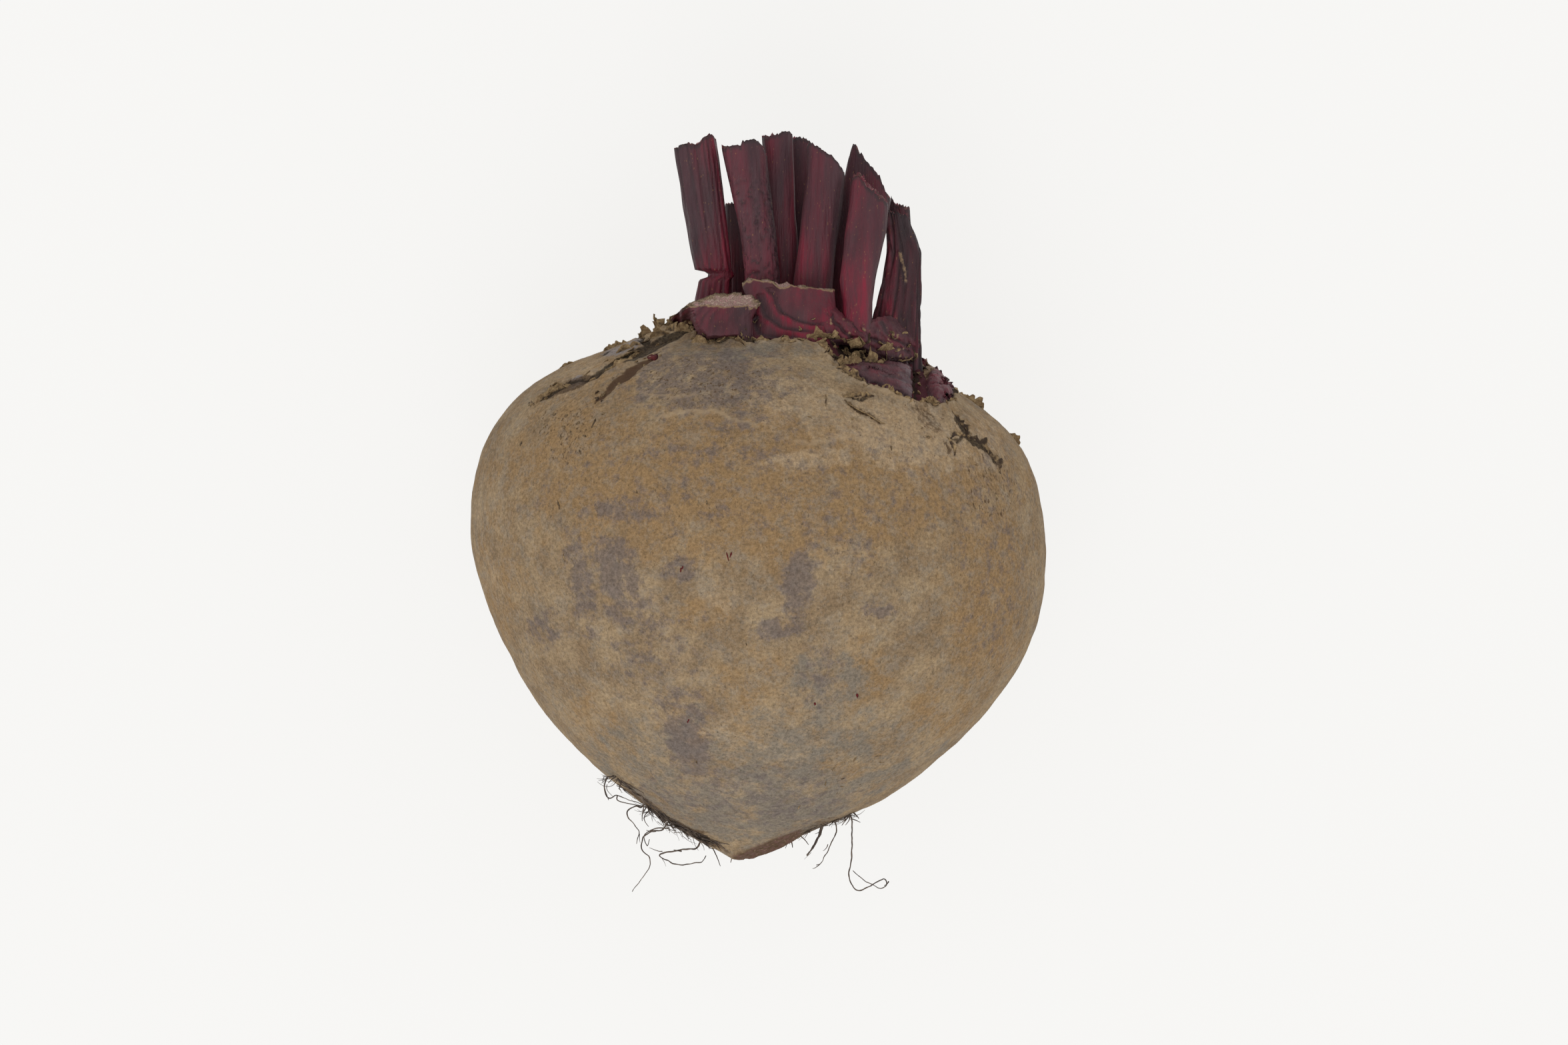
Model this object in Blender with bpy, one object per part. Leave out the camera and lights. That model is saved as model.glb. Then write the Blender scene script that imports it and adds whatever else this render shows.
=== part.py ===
"""A beetroot as pulled and topped: the root, its cut leaf stalks and leaf bases, dry scales and rootlets.

It lies on its side, on the small flat spot of its belly. +Z is up, the crown points along +Y and the
taproot along -Y, and the origin is the middle of the flat spot. Sizes below are millimetres; the meshes are
made in metres.
"""

import math

import bmesh
import bpy
from mathutils import Vector

# --------------------------------------------------------------------------------------------------
# Driving dimensions, in millimetres
# --------------------------------------------------------------------------------------------------
MM = 0.001
GAP = 0.35  # clear space between pieces that touch
AXIS_Z = 46.0  # height of the root's long axis above the surface that it lies on
SKIN_TURNS = 56  # facets round the root
SKIN_STEPS = 2  # facets between two levels of its outline

# The root's outline at its left, right, front (upper) and back (lower) sides, from the taproot to the crown.
# The first two hold (x, y), and the last two hold (height over the axis, y).
LEFT = (
    (0.5, -54.6), (-6.8, -50.3), (-12.8, -47.2), (-21.0, -41.0), (-32.1, -31.8), (-40.1, -22.0),
    (-45.8, -11.0),
    (-49.6, 0.0), (-50.3, 8.5), (-48.7, 19.1), (-43.9, 27.0), (-34.7, 33.8), (-22.6, 38.4), (-13.0, 41.8),
    (6.0, 44.0),
)
RIGHT = (
    (0.5, -54.6), (4.2, -49.0), (11.6, -45.2), (21.4, -41.0), (33.9, -31.8), (42.3, -22.0), (48.0, -11.0),
    (49.7, 0.0), (49.1, 8.5), (46.1, 19.0), (40.2, 26.0), (32.9, 30.7), (27.8, 34.6), (20.5, 39.3),
    (6.0, 44.0),
)
FRONT = (
    (-2.5, -54.6), (1.0, -51.0), (5.0, -47.8), (17.0, -42.0), (30.0, -32.2), (38.6, -22.0), (43.4, -11.0),
    (45.6, 0.0), (45.4, 8.5), (43.0, 19.0), (38.2, 26.5), (30.8, 32.4), (23.0, 36.8), (14.8, 40.5),
    (0.0, 44.0),
)
BACK = (
    (-2.5, -54.6), (-6.0, -51.0), (-10.0, -47.8), (-21.5, -42.0), (-33.2, -32.2), (-41.0, -22.0),
    (-45.2, -11.0),
    (-47.0, -1.0), (-46.6, 8.5), (-43.6, 19.0), (-38.4, 26.5), (-30.4, 32.4), (-22.4, 36.8), (-14.4, 40.5),
    (0.0, 44.0),
)
TOP_LEVEL = len(LEFT) - 1

# The taproot was cut off with one slanting stroke.
STUMP_CUT_POINT = Vector((0.9, -50.1, 43.5))
STUMP_CUT_NORMAL = Vector((0.29, -0.93, 0.21)).normalized()

# Cut leaf stalks and leaf bases: finish, the inner groove's depth as a share of the radius, a point and the
# normal of the cut, and the stations (x, y, z, width, depth) from inside the crown to beyond the cut.
STALKS = {
    "stalk_left": ("STALK", 0.18, (-11.4, 72.9, 52.4), (-0.27, 0.95, 0.14), (
        (-8.2, 38.0, 51.0, 6.5, 5.4), (-8.0, 45.6, 51.0, 6.7, 5.5), (-7.6, 49.0, 51.0, 6.2, 5.2),
        (-6.5, 49.6, 51.0, 4.8, 4.0), (-6.6, 50.3, 51.0, 4.8, 4.0), (-7.8, 50.7, 51.1, 7.0, 5.2),
        (-8.7, 56.3, 51.4, 7.5, 5.6), (-9.9, 65.0, 52.0, 8.0, 5.8), (-11.5, 76.0, 52.6, 8.1, 5.8))),
    "stalk_mid_left": ("STALK", 0.20, (-2.7, 72.4, 55.2), (0.15, 0.97, 0.16), (
        (0.8, 38.0, 54.4, 6.0, 5.2), (0.5, 49.8, 54.8, 6.0, 5.4), (-0.7, 59.0, 55.0, 6.4, 5.5),
        (-2.15, 67.4, 55.2, 7.3, 5.6), (-3.3, 76.0, 55.4, 8.2, 5.6))),
    "stalk_dark_left": ("DRY_STALK", 0.10, (-3.7, 62.0, 45.0), (-0.20, 0.95, 0.20), (
        (-3.0, 38.0, 45.0, 4.8, 4.2), (-3.4, 52.0, 45.0, 4.8, 4.2), (-3.7, 67.0, 45.0, 4.8, 4.2))),
    "stalk_middle": ("STALK", 0.15, (3.0, 74.3, 49.4), (-0.12, 0.97, 0.18), (
        (4.2, 38.0, 49.4, 4.6, 4.0), (4.6, 50.0, 49.4, 4.6, 4.2), (3.7, 60.0, 49.4, 5.0, 4.2),
        (2.9, 77.0, 49.4, 5.4, 4.4))),
    "stalk_middle_back": ("STALK", 0.10, (6.7, 73.4, 43.2), (0.10, 0.97, 0.20), (
        (6.0, 38.0, 43.2, 4.8, 4.2), (6.4, 55.0, 43.2, 5.0, 4.4), (6.8, 76.0, 43.2, 4.8, 4.2))),
    "stalk_flat": ("STALK", 0.22, (11.0, 70.7, 53.4), (0.53, 0.82, 0.20), (
        (8.6, 38.0, 53.4, 6.6, 4.6), (9.2, 49.0, 53.4, 6.8, 4.8), (10.3, 58.0, 53.4, 6.8, 4.8),
        (11.2, 67.0, 53.4, 7.0, 4.8), (11.8, 77.0, 53.4, 7.2, 4.8))),
    "stalk_right_back": ("STALK", 0.15, (19.0, 68.2, 46.8), (0.72, 0.67, 0.15), (
        (15.4, 36.0, 47.0, 6.6, 4.8), (15.7, 48.0, 47.0, 7.8, 5.0), (17.0, 57.0, 47.0, 8.8, 5.2),
        (18.4, 65.0, 46.8, 9.2, 5.2), (19.6, 76.0, 46.6, 9.2, 5.2))),
    "stalk_right": ("STALK", 0.20, (19.1, 65.0, 57.0), (0.55, 0.75, 0.36), (
        (16.0, 36.0, 60.4, 4.0, 4.0), (16.9, 44.0, 60.4, 4.9, 4.8), (16.9, 48.8, 59.6, 6.2, 5.0),
        (18.2, 57.2, 58.0, 7.4, 5.2), (18.9, 64.0, 57.0, 6.8, 5.0), (19.6, 71.0, 56.4, 6.6, 4.8))),
    "stalk_far_right_back": ("DRY_STALK", 0.10, (23.6, 62.4, 41.0), (0.30, 0.93, 0.20), (
        (23.0, 32.0, 41.4, 4.2, 4.0), (24.4, 50.0, 41.0, 4.6, 4.0), (24.2, 57.0, 41.0, 4.6, 4.0),
        (23.4, 67.0, 41.0, 4.4, 4.0))),
    "stalk_far_right": ("DRY_STALK", 0.12, (24.2, 59.8, 51.0), (0.35, 0.92, 0.18), (
        (22.3, 30.0, 54.2, 11.2, 4.6), (22.3, 39.5, 53.6, 10.6, 4.8), (23.7, 43.8, 52.6, 8.4, 5.0),
        (24.3, 48.0, 51.8, 7.5, 5.0), (24.7, 53.8, 51.2, 6.5, 4.8), (23.8, 58.5, 51.0, 4.7, 4.2),
        (23.7, 63.0, 51.0, 3.6, 3.6))),
    "stalk_back_left": ("STALK", 0.18, (-4.4, 56.4, 36.2), (-0.10, 0.96, -0.24), (
        (-3.4, 36.0, 36.6, 5.8, 4.8), (-4.0, 48.0, 36.2, 6.0, 5.0), (-4.6, 60.0, 36.0, 6.2, 5.0))),
    "stalk_back": ("STALK", 0.18, (3.0, 68.0, 35.4), (0.14, 0.97, -0.20), (
        (3.8, 36.0, 36.2, 5.8, 5.0), (3.4, 52.0, 35.6, 6.0, 5.0), (2.9, 71.0, 35.2, 6.2, 5.0))),
    "stalk_back_middle": ("DRY_STALK", 0.15, (10.2, 62.0, 36.4), (0.20, 0.95, -0.24), (
        (10.4, 36.0, 37.0, 5.0, 4.6), (10.2, 50.0, 36.6, 5.4, 4.8), (10.2, 66.0, 36.2, 5.4, 4.8))),
    "stalk_back_right": ("STALK", 0.18, (16.6, 58.6, 37.0), (0.25, 0.93, -0.24), (
        (16.6, 34.0, 37.4, 4.6, 4.6), (16.6, 48.0, 37.2, 4.8, 4.8), (16.6, 62.0, 36.8, 4.8, 4.8))),
    "leaf_base_front_left": ("LEAF_BASE", 0.06, (-6.2, 45.6, 64.0), (-0.06, 0.93, 0.42), (
        (-9.4, 33.0, 65.6, 16.4, 6.0), (-9.3, 38.6, 65.0, 16.6, 5.6), (-8.4, 42.0, 64.4, 14.6, 4.8),
        (-6.4, 45.4, 64.0, 10.6, 4.4), (-6.0, 49.0, 63.8, 10.2, 4.4))),
    "leaf_base_front": ("LEAF_BASE", 0.06, (4.7, 48.4, 60.0), (0.03, 0.93, 0.38), (
        (6.4, 33.0, 63.6, 13.4, 5.4), (6.4, 41.6, 62.6, 13.8, 4.6), (5.4, 45.4, 61.0, 15.0, 3.8),
        (4.7, 48.4, 60.0, 16.2, 3.2), (4.6, 53.0, 59.4, 16.4, 3.2))),
    "leaf_base_back_left": ("LEAF_BASE", 0.06, (-6.6, 45.6, 29.6), (0.0, 0.93, -0.36), (
        (-8.6, 32.0, 27.0, 13.0, 6.0), (-8.0, 39.0, 28.0, 12.6, 5.2), (-6.6, 45.6, 29.6, 10.2, 4.2),
        (-6.2, 50.0, 30.2, 10.0, 4.2))),
    "leaf_base_back": ("LEAF_BASE", 0.06, (7.6, 47.2, 29.6), (0.05, 0.93, -0.36), (
        (8.0, 31.0, 26.4, 15.6, 6.0), (7.8, 39.0, 27.6, 15.2, 5.0), (7.6, 47.2, 29.8, 14.0, 3.8),
        (7.6, 51.0, 30.4, 14.0, 3.8))),
    "leaf_base_back_right": ("DRY_STALK", 0.08, (23.6, 45.4, 35.4), (0.15, 0.93, -0.34), (
        (22.6, 28.0, 33.2, 7.6, 5.6), (23.6, 38.0, 34.6, 7.0, 5.0), (23.9, 45.4, 35.6, 5.6, 4.2),
        (23.9, 50.0, 36.0, 5.4, 4.2))),
}
STALK_FACETS = 16
STALK_RING_SPACING = 5.0

# Thin pieces lying on the skin: finish, plan centre (x, y), heading in degrees from +X, half length, half
# width, thickness, lift of the near and the far end off the skin, and whether the outline is oval.
PLATES = {
    "leaf_scar_right": ("LEAF_BASE", (30.6, 30.8), 120, 3.5, 2.0, 1.5, 0.0, 0.0, True),
    "leaf_remnant_right": ("LEAF_BASE", (20.4, 31.2), -5, 6.3, 2.5, 0.8, 0.0, 0.0, True),
    "dry_scale_right": ("SCALE", (36.6, 20.4), -48, 5.6, 1.1, 0.6, 0.0, 0.5, False),
    "dry_scale_shoulder": ("SCALE", (17.9, 26.4), 18, 3.2, 2.2, 0.6, 0.0, 0.6, False),
    "dry_scale_left": ("SCALE", (-23.2, 34.6), 165, 3.0, 1.4, 0.6, 0.0, 0.8, False),
    "dry_scale_far_left": ("SCALE", (-35.4, 26.6), 215, 4.2, 1.3, 0.6, 0.0, 0.7, False),
}
PLATE_ROWS = 3
PLATE_COLUMNS = 6

# Rootlets: radius at the start, and the points (x, y, z). A z of None puts the point on the skin below.
ROOTLETS = {
    "rootlet_left_curl": (0.42, (
        (-20.6, -42.4, 45.5), (-21.6, -42.2, 45.8), (-22.9, -43.0, 46.0), (-22.8, -44.2, 46.2),
        (-21.8, -45.3, 46.4), (-21.0, -46.6, 46.4), (-21.4, -48.6, 46.4))),
    "rootlet_left_long": (0.40, (
        (-16.9, -46.3, 42.0), (-18.8, -46.6, 42.0), (-20.3, -47.7, 42.2), (-20.5, -49.9, 42.6),
        (-19.3, -51.0, 43.0), (-19.2, -52.6, 43.2), (-20.0, -54.0, 43.0), (-22.2, -57.1, 42.6))),
    "rootlet_left_loop": (0.45, (
        (-11.0, -49.4, 45.4), (-12.9, -49.7, 45.8), (-16.6, -50.2, 46.0), (-17.3, -50.9, 45.8),
        (-14.8, -52.2, 45.0), (-12.6, -52.3, 44.0), (-10.1, -51.9, 43.2), (-9.4, -50.9, 42.6))),
    "rootlet_left_edge": (0.38, (
        (-27.4, -36.8, 44.0), (-27.7, -38.4, 44.2), (-27.2, -40.2, 44.4), (-26.4, -41.3, 44.6))),
    "rootlet_mat_high": (0.42, (
        (-22.0, -37.6, None), (-19.4, -40.2, None), (-16.4, -42.6, None), (-13.4, -44.4, None),
        (-10.2, -45.8, None))),
    "rootlet_mat_low": (0.45, (
        (-19.6, -41.2, None), (-16.8, -43.6, None), (-13.6, -45.6, None), (-10.4, -47.0, None),
        (-7.6, -47.8, None))),
    "rootlet_right_long": (0.42, (
        (15.9, -44.4, 42.0), (16.0, -46.6, 42.0), (15.9, -51.4, 42.0), (15.4, -54.5, 42.0),
        (16.8, -56.9, 42.0), (18.9, -56.2, 42.2), (21.4, -54.9, 43.0), (22.0, -55.8, 44.0),
        (20.8, -56.4, 44.6), (18.4, -55.2, 44.8), (16.2, -53.4, 44.8))),
    "rootlet_right_short": (0.38, (
        (12.8, -46.6, 43.6), (12.1, -49.2, 43.8), (10.6, -52.0, 44.0), (9.8, -52.5, 44.0))),
    "rootlet_right_blade": (0.60, ((10.6, -47.2, 46.4), (9.8, -48.6, 46.8), (8.2, -50.6, 47.0))),
    "rootlet_tuft_right": (0.42, (
        (16.6, -41.6, None), (13.8, -43.0, None), (11.0, -44.2, None), (8.4, -45.0, None))),
    "rootlet_back_left": (0.42, (
        (-8.6, -48.2, 36.8), (-9.4, -47.2, 34.8), (-11.0, -45.6, 32.2), (-12.4, -43.4, 29.4))),
    "rootlet_back_right": (0.40, (
        (5.2, -48.2, 37.2), (6.8, -47.0, 34.8), (9.4, -45.2, 32.2), (12.4, -43.4, 29.8))),
}
ROOTLET_STEPS = 2  # tube segments between two points
ROOTLET_TAPER = 0.45  # how much of its thickness a rootlet loses by its end

# --------------------------------------------------------------------------------------------------
# Finishes: material name, colour and roughness
# --------------------------------------------------------------------------------------------------
FINISHES = {
    "CORK": ("cork_skin", (0.285, 0.200, 0.125), 0.85),
    "STALK": ("stalk_skin", (0.075, 0.022, 0.032), 0.55),
    "DRY_STALK": ("dry_stalk", (0.045, 0.028, 0.032), 0.65),
    "LEAF_BASE": ("leaf_base_skin", (0.105, 0.026, 0.040), 0.50),
    "SCALE": ("dry_scale", (0.180, 0.110, 0.050), 0.80),
    "ROOTLET": ("rootlet_skin", (0.065, 0.050, 0.040), 0.80),
}


def material(finish):
    """The Principled material of a (name, colour, roughness) finish, made once."""
    name, colour, roughness = finish
    found = bpy.data.materials.get(name)
    if found:
        return found
    made = bpy.data.materials.new(name)
    made.use_nodes = True
    shader = made.node_tree.nodes["Principled BSDF"]
    shader.inputs["Base Color"].default_value = (*colour, 1.0)
    shader.inputs["Roughness"].default_value = roughness
    shader.inputs["Metallic"].default_value = 0.0
    return made


def add_object(name, bm, finish):
    """Links a bmesh, held in millimetres, as a named object in metres."""
    bmesh.ops.recalc_face_normals(bm, faces=bm.faces[:])
    bmesh.ops.scale(bm, vec=(MM, MM, MM), verts=bm.verts[:])
    mesh = bpy.data.meshes.new(name)
    bm.to_mesh(mesh)
    bm.free()
    mesh.materials.append(material(finish))
    mesh.shade_smooth()
    obj = bpy.data.objects.new(name, mesh)
    bpy.context.scene.collection.objects.link(obj)
    return obj


# --------------------------------------------------------------------------------------------------
# The root's surface
# --------------------------------------------------------------------------------------------------
def catmull_rom(points, at):
    """The smooth curve through points at the parameter at, which counts points from 0."""
    last = len(points) - 1
    i = min(int(at), last - 1)
    t = at - i
    p1, p2 = Vector(points[i]), Vector(points[i + 1])
    p0 = Vector(points[i - 1]) if i else p1 - (p2 - p1)
    p3 = Vector(points[i + 2]) if i + 2 <= last else p2 + (p2 - p1)
    slope, bend = p2 - p0, 2 * p0 - 5 * p1 + 4 * p2 - p3
    return 0.5 * (2 * p1 + slope * t + bend * t**2 + (3 * p1 - p0 - 3 * p2 + p3) * t**3)


def bare_skin(turn, level):
    """The root's surface: turn is the angle round the long axis, 0 at the right, 90 degrees at the front."""
    left, right = catmull_rom(LEFT, level), catmull_rom(RIGHT, level)
    front, back = catmull_rom(FRONT, level), catmull_rom(BACK, level)
    c, s = math.cos(turn), math.sin(turn)
    x = (left.x + right.x) / 2 + (right.x - left.x) / 2 * c
    z = AXIS_Z + (front.x + back.x) / 2 + (front.x - back.x) / 2 * s
    side, face = (right if c > 0 else left), (front if s > 0 else back)
    return Vector((x, side.y * c * c + face.y * s * s, z))


def skin_point(turn, level, lift=0.0):
    """A point of the root's surface, raised along its normal by lift."""
    at = bare_skin(turn, level)
    if not lift:
        return at
    step = 0.02
    along = bare_skin(turn, min(level + step, TOP_LEVEL - step)) - bare_skin(turn, max(level - step, step))
    round_it = bare_skin(turn + step, level) - bare_skin(turn - step, level)
    return at + along.cross(round_it).normalized() * lift


def skin_under(x, y):
    """(turn, level) of the root's upper surface below a point of the plan, found by walking towards it."""
    turn, level = math.pi / 2, 7.0
    step = 1e-3
    for _ in range(60):
        at = bare_skin(turn, level)
        by_turn = (bare_skin(turn + step, level) - at) / step
        by_level = (bare_skin(turn, level + step) - at) / step
        size = by_turn.x * by_level.y - by_turn.y * by_level.x
        miss_x, miss_y = x - at.x, y - at.y
        turn += 0.7 * (miss_x * by_level.y - miss_y * by_level.x) / size
        level += 0.7 * (by_turn.x * miss_y - by_turn.y * miss_x) / size
        turn = min(max(turn, 0.06), math.pi - 0.06)
        level = min(max(level, 0.4), TOP_LEVEL - 0.4)
    return turn, level


def root_mesh(lift=0.0):
    """The whole root, every ring raised by lift, cut off at the taproot and the surface it lies on."""
    bm = bmesh.new()
    rings = []
    for step in range(1, TOP_LEVEL * SKIN_STEPS):
        level = step / SKIN_STEPS
        turns = [2 * math.pi * n / SKIN_TURNS for n in range(SKIN_TURNS)]
        rings.append([bm.verts.new(skin_point(t, level, lift)) for t in turns])
    tip = bm.verts.new(bare_skin(0, 0) - Vector((0, lift, 0)))
    crown = bm.verts.new(bare_skin(0, TOP_LEVEL) + Vector((0, lift, 0)))
    for lower, upper in zip(rings, rings[1:]):
        for n in range(SKIN_TURNS):
            m = (n + 1) % SKIN_TURNS
            bm.faces.new((lower[n], lower[m], upper[m], upper[n]))
    for n in range(SKIN_TURNS):
        m = (n + 1) % SKIN_TURNS
        bm.faces.new((tip, rings[0][m], rings[0][n]))
        bm.faces.new((crown, rings[-1][n], rings[-1][m]))
    slice_off(bm, STUMP_CUT_POINT + STUMP_CUT_NORMAL * lift, STUMP_CUT_NORMAL)
    slice_off(bm, Vector((0, 0, -lift)), Vector((0, 0, -1)))
    return bm


def slice_off(bm, point, normal):
    """Cuts away what lies beyond a plane, and closes the cut with one flat face."""
    geometry = bm.verts[:] + bm.edges[:] + bm.faces[:]
    cut = bmesh.ops.bisect_plane(
        bm, geom=geometry, dist=1e-4, plane_co=point, plane_no=normal, clear_outer=True)
    rim = [e for e in cut["geom_cut"] if isinstance(e, bmesh.types.BMEdge)]
    bmesh.ops.contextual_create(bm, geom=rim)


def bridge(bm, lower, upper):
    """Joins two closed rings of the same size with a band of faces."""
    for n, vert in enumerate(lower):
        m = (n + 1) % len(lower)
        bm.faces.new((vert, lower[m], upper[m], upper[n]))


# --------------------------------------------------------------------------------------------------
# Leaf stalks, thin pieces and rootlets
# --------------------------------------------------------------------------------------------------
def stalk_section(station, groove):
    """One ring of a stalk: an oval in the plane across +Y, with a groove on the side facing the axis."""
    x, y, z, width, depth = station
    inward = math.atan2(AXIS_Z - z, 6.0 - x)
    ring = []
    for n in range(STALK_FACETS):
        turn = 2 * math.pi * n / STALK_FACETS
        off = (turn - inward + math.pi) % (2 * math.pi) - math.pi
        reach = 1 - groove * math.exp(-((off / 0.45) ** 2))
        across, along = reach * width / 2 * math.cos(turn), reach * depth / 2 * math.sin(turn)
        ring.append(Vector((x + across, y, z + along)))
    return ring


def make_stalk(name, finish, groove, cut_point, cut_normal, stations, clearance):
    """A cut leaf stalk or leaf base: a loft through its stations, cut off above and fitted below."""
    bm = bmesh.new()
    rings = []
    for i, (start, end) in enumerate(zip(stations, stations[1:])):
        steps = max(1, round((end[1] - start[1]) / STALK_RING_SPACING))
        for step in range(steps):
            at = catmull_rom([s[:3] for s in stations], i + step / steps)
            t = step / steps
            width, depth = start[3] + (end[3] - start[3]) * t, start[4] + (end[4] - start[4]) * t
            rings.append([bm.verts.new(p) for p in stalk_section((*at, width, depth), groove)])
    rings.append([bm.verts.new(p) for p in stalk_section(stations[-1], groove)])
    for lower, upper in zip(rings, rings[1:]):
        bridge(bm, lower, upper)
    bm.faces.new(rings[0])
    bm.faces.new(rings[-1])
    slice_off(bm, Vector(cut_point), Vector(cut_normal).normalized())
    obj = add_object(name, bm, finish)
    fit = obj.modifiers.new("fit_to_crown", "BOOLEAN")
    fit.operation = "DIFFERENCE"
    fit.solver = "EXACT"
    fit.object = clearance


def make_plate(name, finish, centre, heading, half_length, half_width, thickness, near_lift, far_lift, oval):
    """A thin piece that follows the skin, a little clear of it, and may lift at its far end."""
    bm = bmesh.new()
    along = Vector((math.cos(math.radians(heading)), math.sin(math.radians(heading))))
    across = Vector((-along.y, along.x))
    low, high = {}, {}
    for i in range(PLATE_COLUMNS + 1):
        for j in range(PLATE_ROWS + 1):
            u, v = 2 * i / PLATE_COLUMNS - 1, 2 * j / PLATE_ROWS - 1
            s, t = u, v * (1 - 0.3 * u * u)
            if oval:
                s, t = u * math.sqrt(1 - v * v / 2), v * math.sqrt(1 - u * u / 2)
            plan = Vector(centre) + along * s * half_length + across * t * half_width
            turn, level = skin_under(plan.x, plan.y)
            share = (u + 1) / 2
            lift = GAP + near_lift + (far_lift - near_lift) * share**2
            body = thickness * (1 - 0.55 * max(u * u, v * v))
            low[i, j] = bm.verts.new(skin_point(turn, level, lift))
            high[i, j] = bm.verts.new(skin_point(turn, level, lift + body))
    for i in range(PLATE_COLUMNS):
        for j in range(PLATE_ROWS):
            corners = ((i, j), (i + 1, j), (i + 1, j + 1), (i, j + 1))
            bm.faces.new([high[c] for c in corners])
            bm.faces.new([low[c] for c in reversed(corners)])
    rim = [(i, 0) for i in range(PLATE_COLUMNS)] + [(PLATE_COLUMNS, j) for j in range(PLATE_ROWS)]
    rim += [(i, PLATE_ROWS) for i in range(PLATE_COLUMNS, 0, -1)] + [(0, j) for j in range(PLATE_ROWS, 0, -1)]
    bridge(bm, [low[c] for c in rim], [high[c] for c in rim])
    add_object(name, bm, finish)


def make_rootlet(name, finish, radius, points):
    """A fine root: a bevelled curve through the points that thins towards its end."""
    curve = bpy.data.curves.new(name, "CURVE")
    curve.dimensions = "3D"
    curve.resolution_u = ROOTLET_STEPS
    curve.render_resolution_u = ROOTLET_STEPS
    curve.bevel_depth = radius * MM
    curve.bevel_resolution = 1
    curve.use_fill_caps = True
    curve.materials.append(material(finish))
    spline = curve.splines.new("BEZIER")
    spline.bezier_points.add(len(points) - 1)
    for n, ((x, y, z), knot) in enumerate(zip(points, spline.bezier_points)):
        at = Vector((x, y, z)) if z is not None else skin_point(*skin_under(x, y), GAP + radius)
        knot.co = at * MM
        knot.handle_left_type = knot.handle_right_type = "AUTO"
        knot.radius = 1 - ROOTLET_TAPER * n / (len(points) - 1)
    obj = bpy.data.objects.new(name, curve)
    bpy.context.scene.collection.objects.link(obj)


def make_clearance():
    """The hidden cutter that keeps the stalks clear of the crown."""
    cutter = add_object("crown_clearance", root_mesh(GAP), FINISHES["CORK"])
    cutter.hide_render = True
    cutter.display_type = "WIRE"
    return cutter


def build():
    """Makes every piece."""
    for old in list(bpy.data.objects):
        bpy.data.objects.remove(old)
    add_object("root", root_mesh(), FINISHES["CORK"])
    clearance = make_clearance()
    for name, (finish, *shape) in STALKS.items():
        make_stalk(name, FINISHES[finish], *shape, clearance)
    for name, (finish, *shape) in PLATES.items():
        make_plate(name, FINISHES[finish], *shape)
    for name, (radius, points) in ROOTLETS.items():
        make_rootlet(name, FINISHES["ROOTLET"], radius, points)


build()
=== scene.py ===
"""The looks of a beetroot lying on its side: corky root, cut leaf stalks, dry skin scales and rootlets.

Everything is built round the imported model. Sizes are in millimetres in the model's own frame: the crown
points along +Y, the root lies on z = 0, and the meshes are scaled to metres when they are made.
"""

from __future__ import annotations

import itertools
import logging
import math
from dataclasses import dataclass, field
from enum import Enum
from typing import ClassVar

import bpy
import numpy as np
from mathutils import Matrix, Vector
from mathutils.bvhtree import BVHTree

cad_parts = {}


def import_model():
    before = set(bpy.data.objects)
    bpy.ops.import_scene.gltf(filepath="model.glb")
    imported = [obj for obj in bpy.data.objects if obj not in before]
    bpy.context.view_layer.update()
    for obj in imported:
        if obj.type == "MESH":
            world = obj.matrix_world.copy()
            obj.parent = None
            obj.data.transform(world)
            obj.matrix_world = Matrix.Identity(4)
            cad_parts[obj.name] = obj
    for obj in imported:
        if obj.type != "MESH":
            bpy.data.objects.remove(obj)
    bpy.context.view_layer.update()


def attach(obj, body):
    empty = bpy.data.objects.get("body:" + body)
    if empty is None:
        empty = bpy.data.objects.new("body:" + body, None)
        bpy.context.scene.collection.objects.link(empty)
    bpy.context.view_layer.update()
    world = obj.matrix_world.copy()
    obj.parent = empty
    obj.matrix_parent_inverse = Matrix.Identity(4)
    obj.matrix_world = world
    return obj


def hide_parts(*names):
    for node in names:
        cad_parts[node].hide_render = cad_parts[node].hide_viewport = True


LOG = logging.getLogger("beetroot")
MM = 0.001
BODY = "root"
AXIS_HEIGHT = 46.0  # the root's long axis above the floor
GRAIN_GAIN = 1.8  # brings the gradient noise to about -1 to 1
OCTAVE_SHIFT = 31.7  # keeps the layers of a grain from lining up
SQUARENESS = 2.4  # the power of a stalk's section; 2 would be an ellipse
FLAKE_ROWS = 9
CHIP_CORNERS = 14
Array = np.ndarray
Colour = tuple[float, float, float]
Plan = tuple[float, float]
Point = tuple[float, float, float]
Material = bpy.types.Material
Tree = bpy.types.NodeTree
Node = bpy.types.Node


# ---- Numbers and noise ----
def ramp(low: float, high: float, value: Array) -> Array:
    """Rises from 0 at low to 1 at high without a corner."""
    share = np.clip((value - low) / (high - low), 0.0, 1.0)
    return share * share * (3.0 - 2.0 * share)


def bell(value: Array, width: Array | float) -> Array:
    """A smooth hump: 1 at 0, and next to nothing beyond twice the width."""
    return np.exp(-((value / width) ** 2))


def follow(table: tuple[Plan, ...], at: Array | float) -> Array:
    """Reads a table of places and values between its rows."""
    return np.interp(at, *np.array(table).T)


def unit(vectors: Array) -> Array:
    """Each vector at length 1."""
    return vectors / np.maximum(np.linalg.norm(vectors, axis=-1, keepdims=True), 1e-9)


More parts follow.
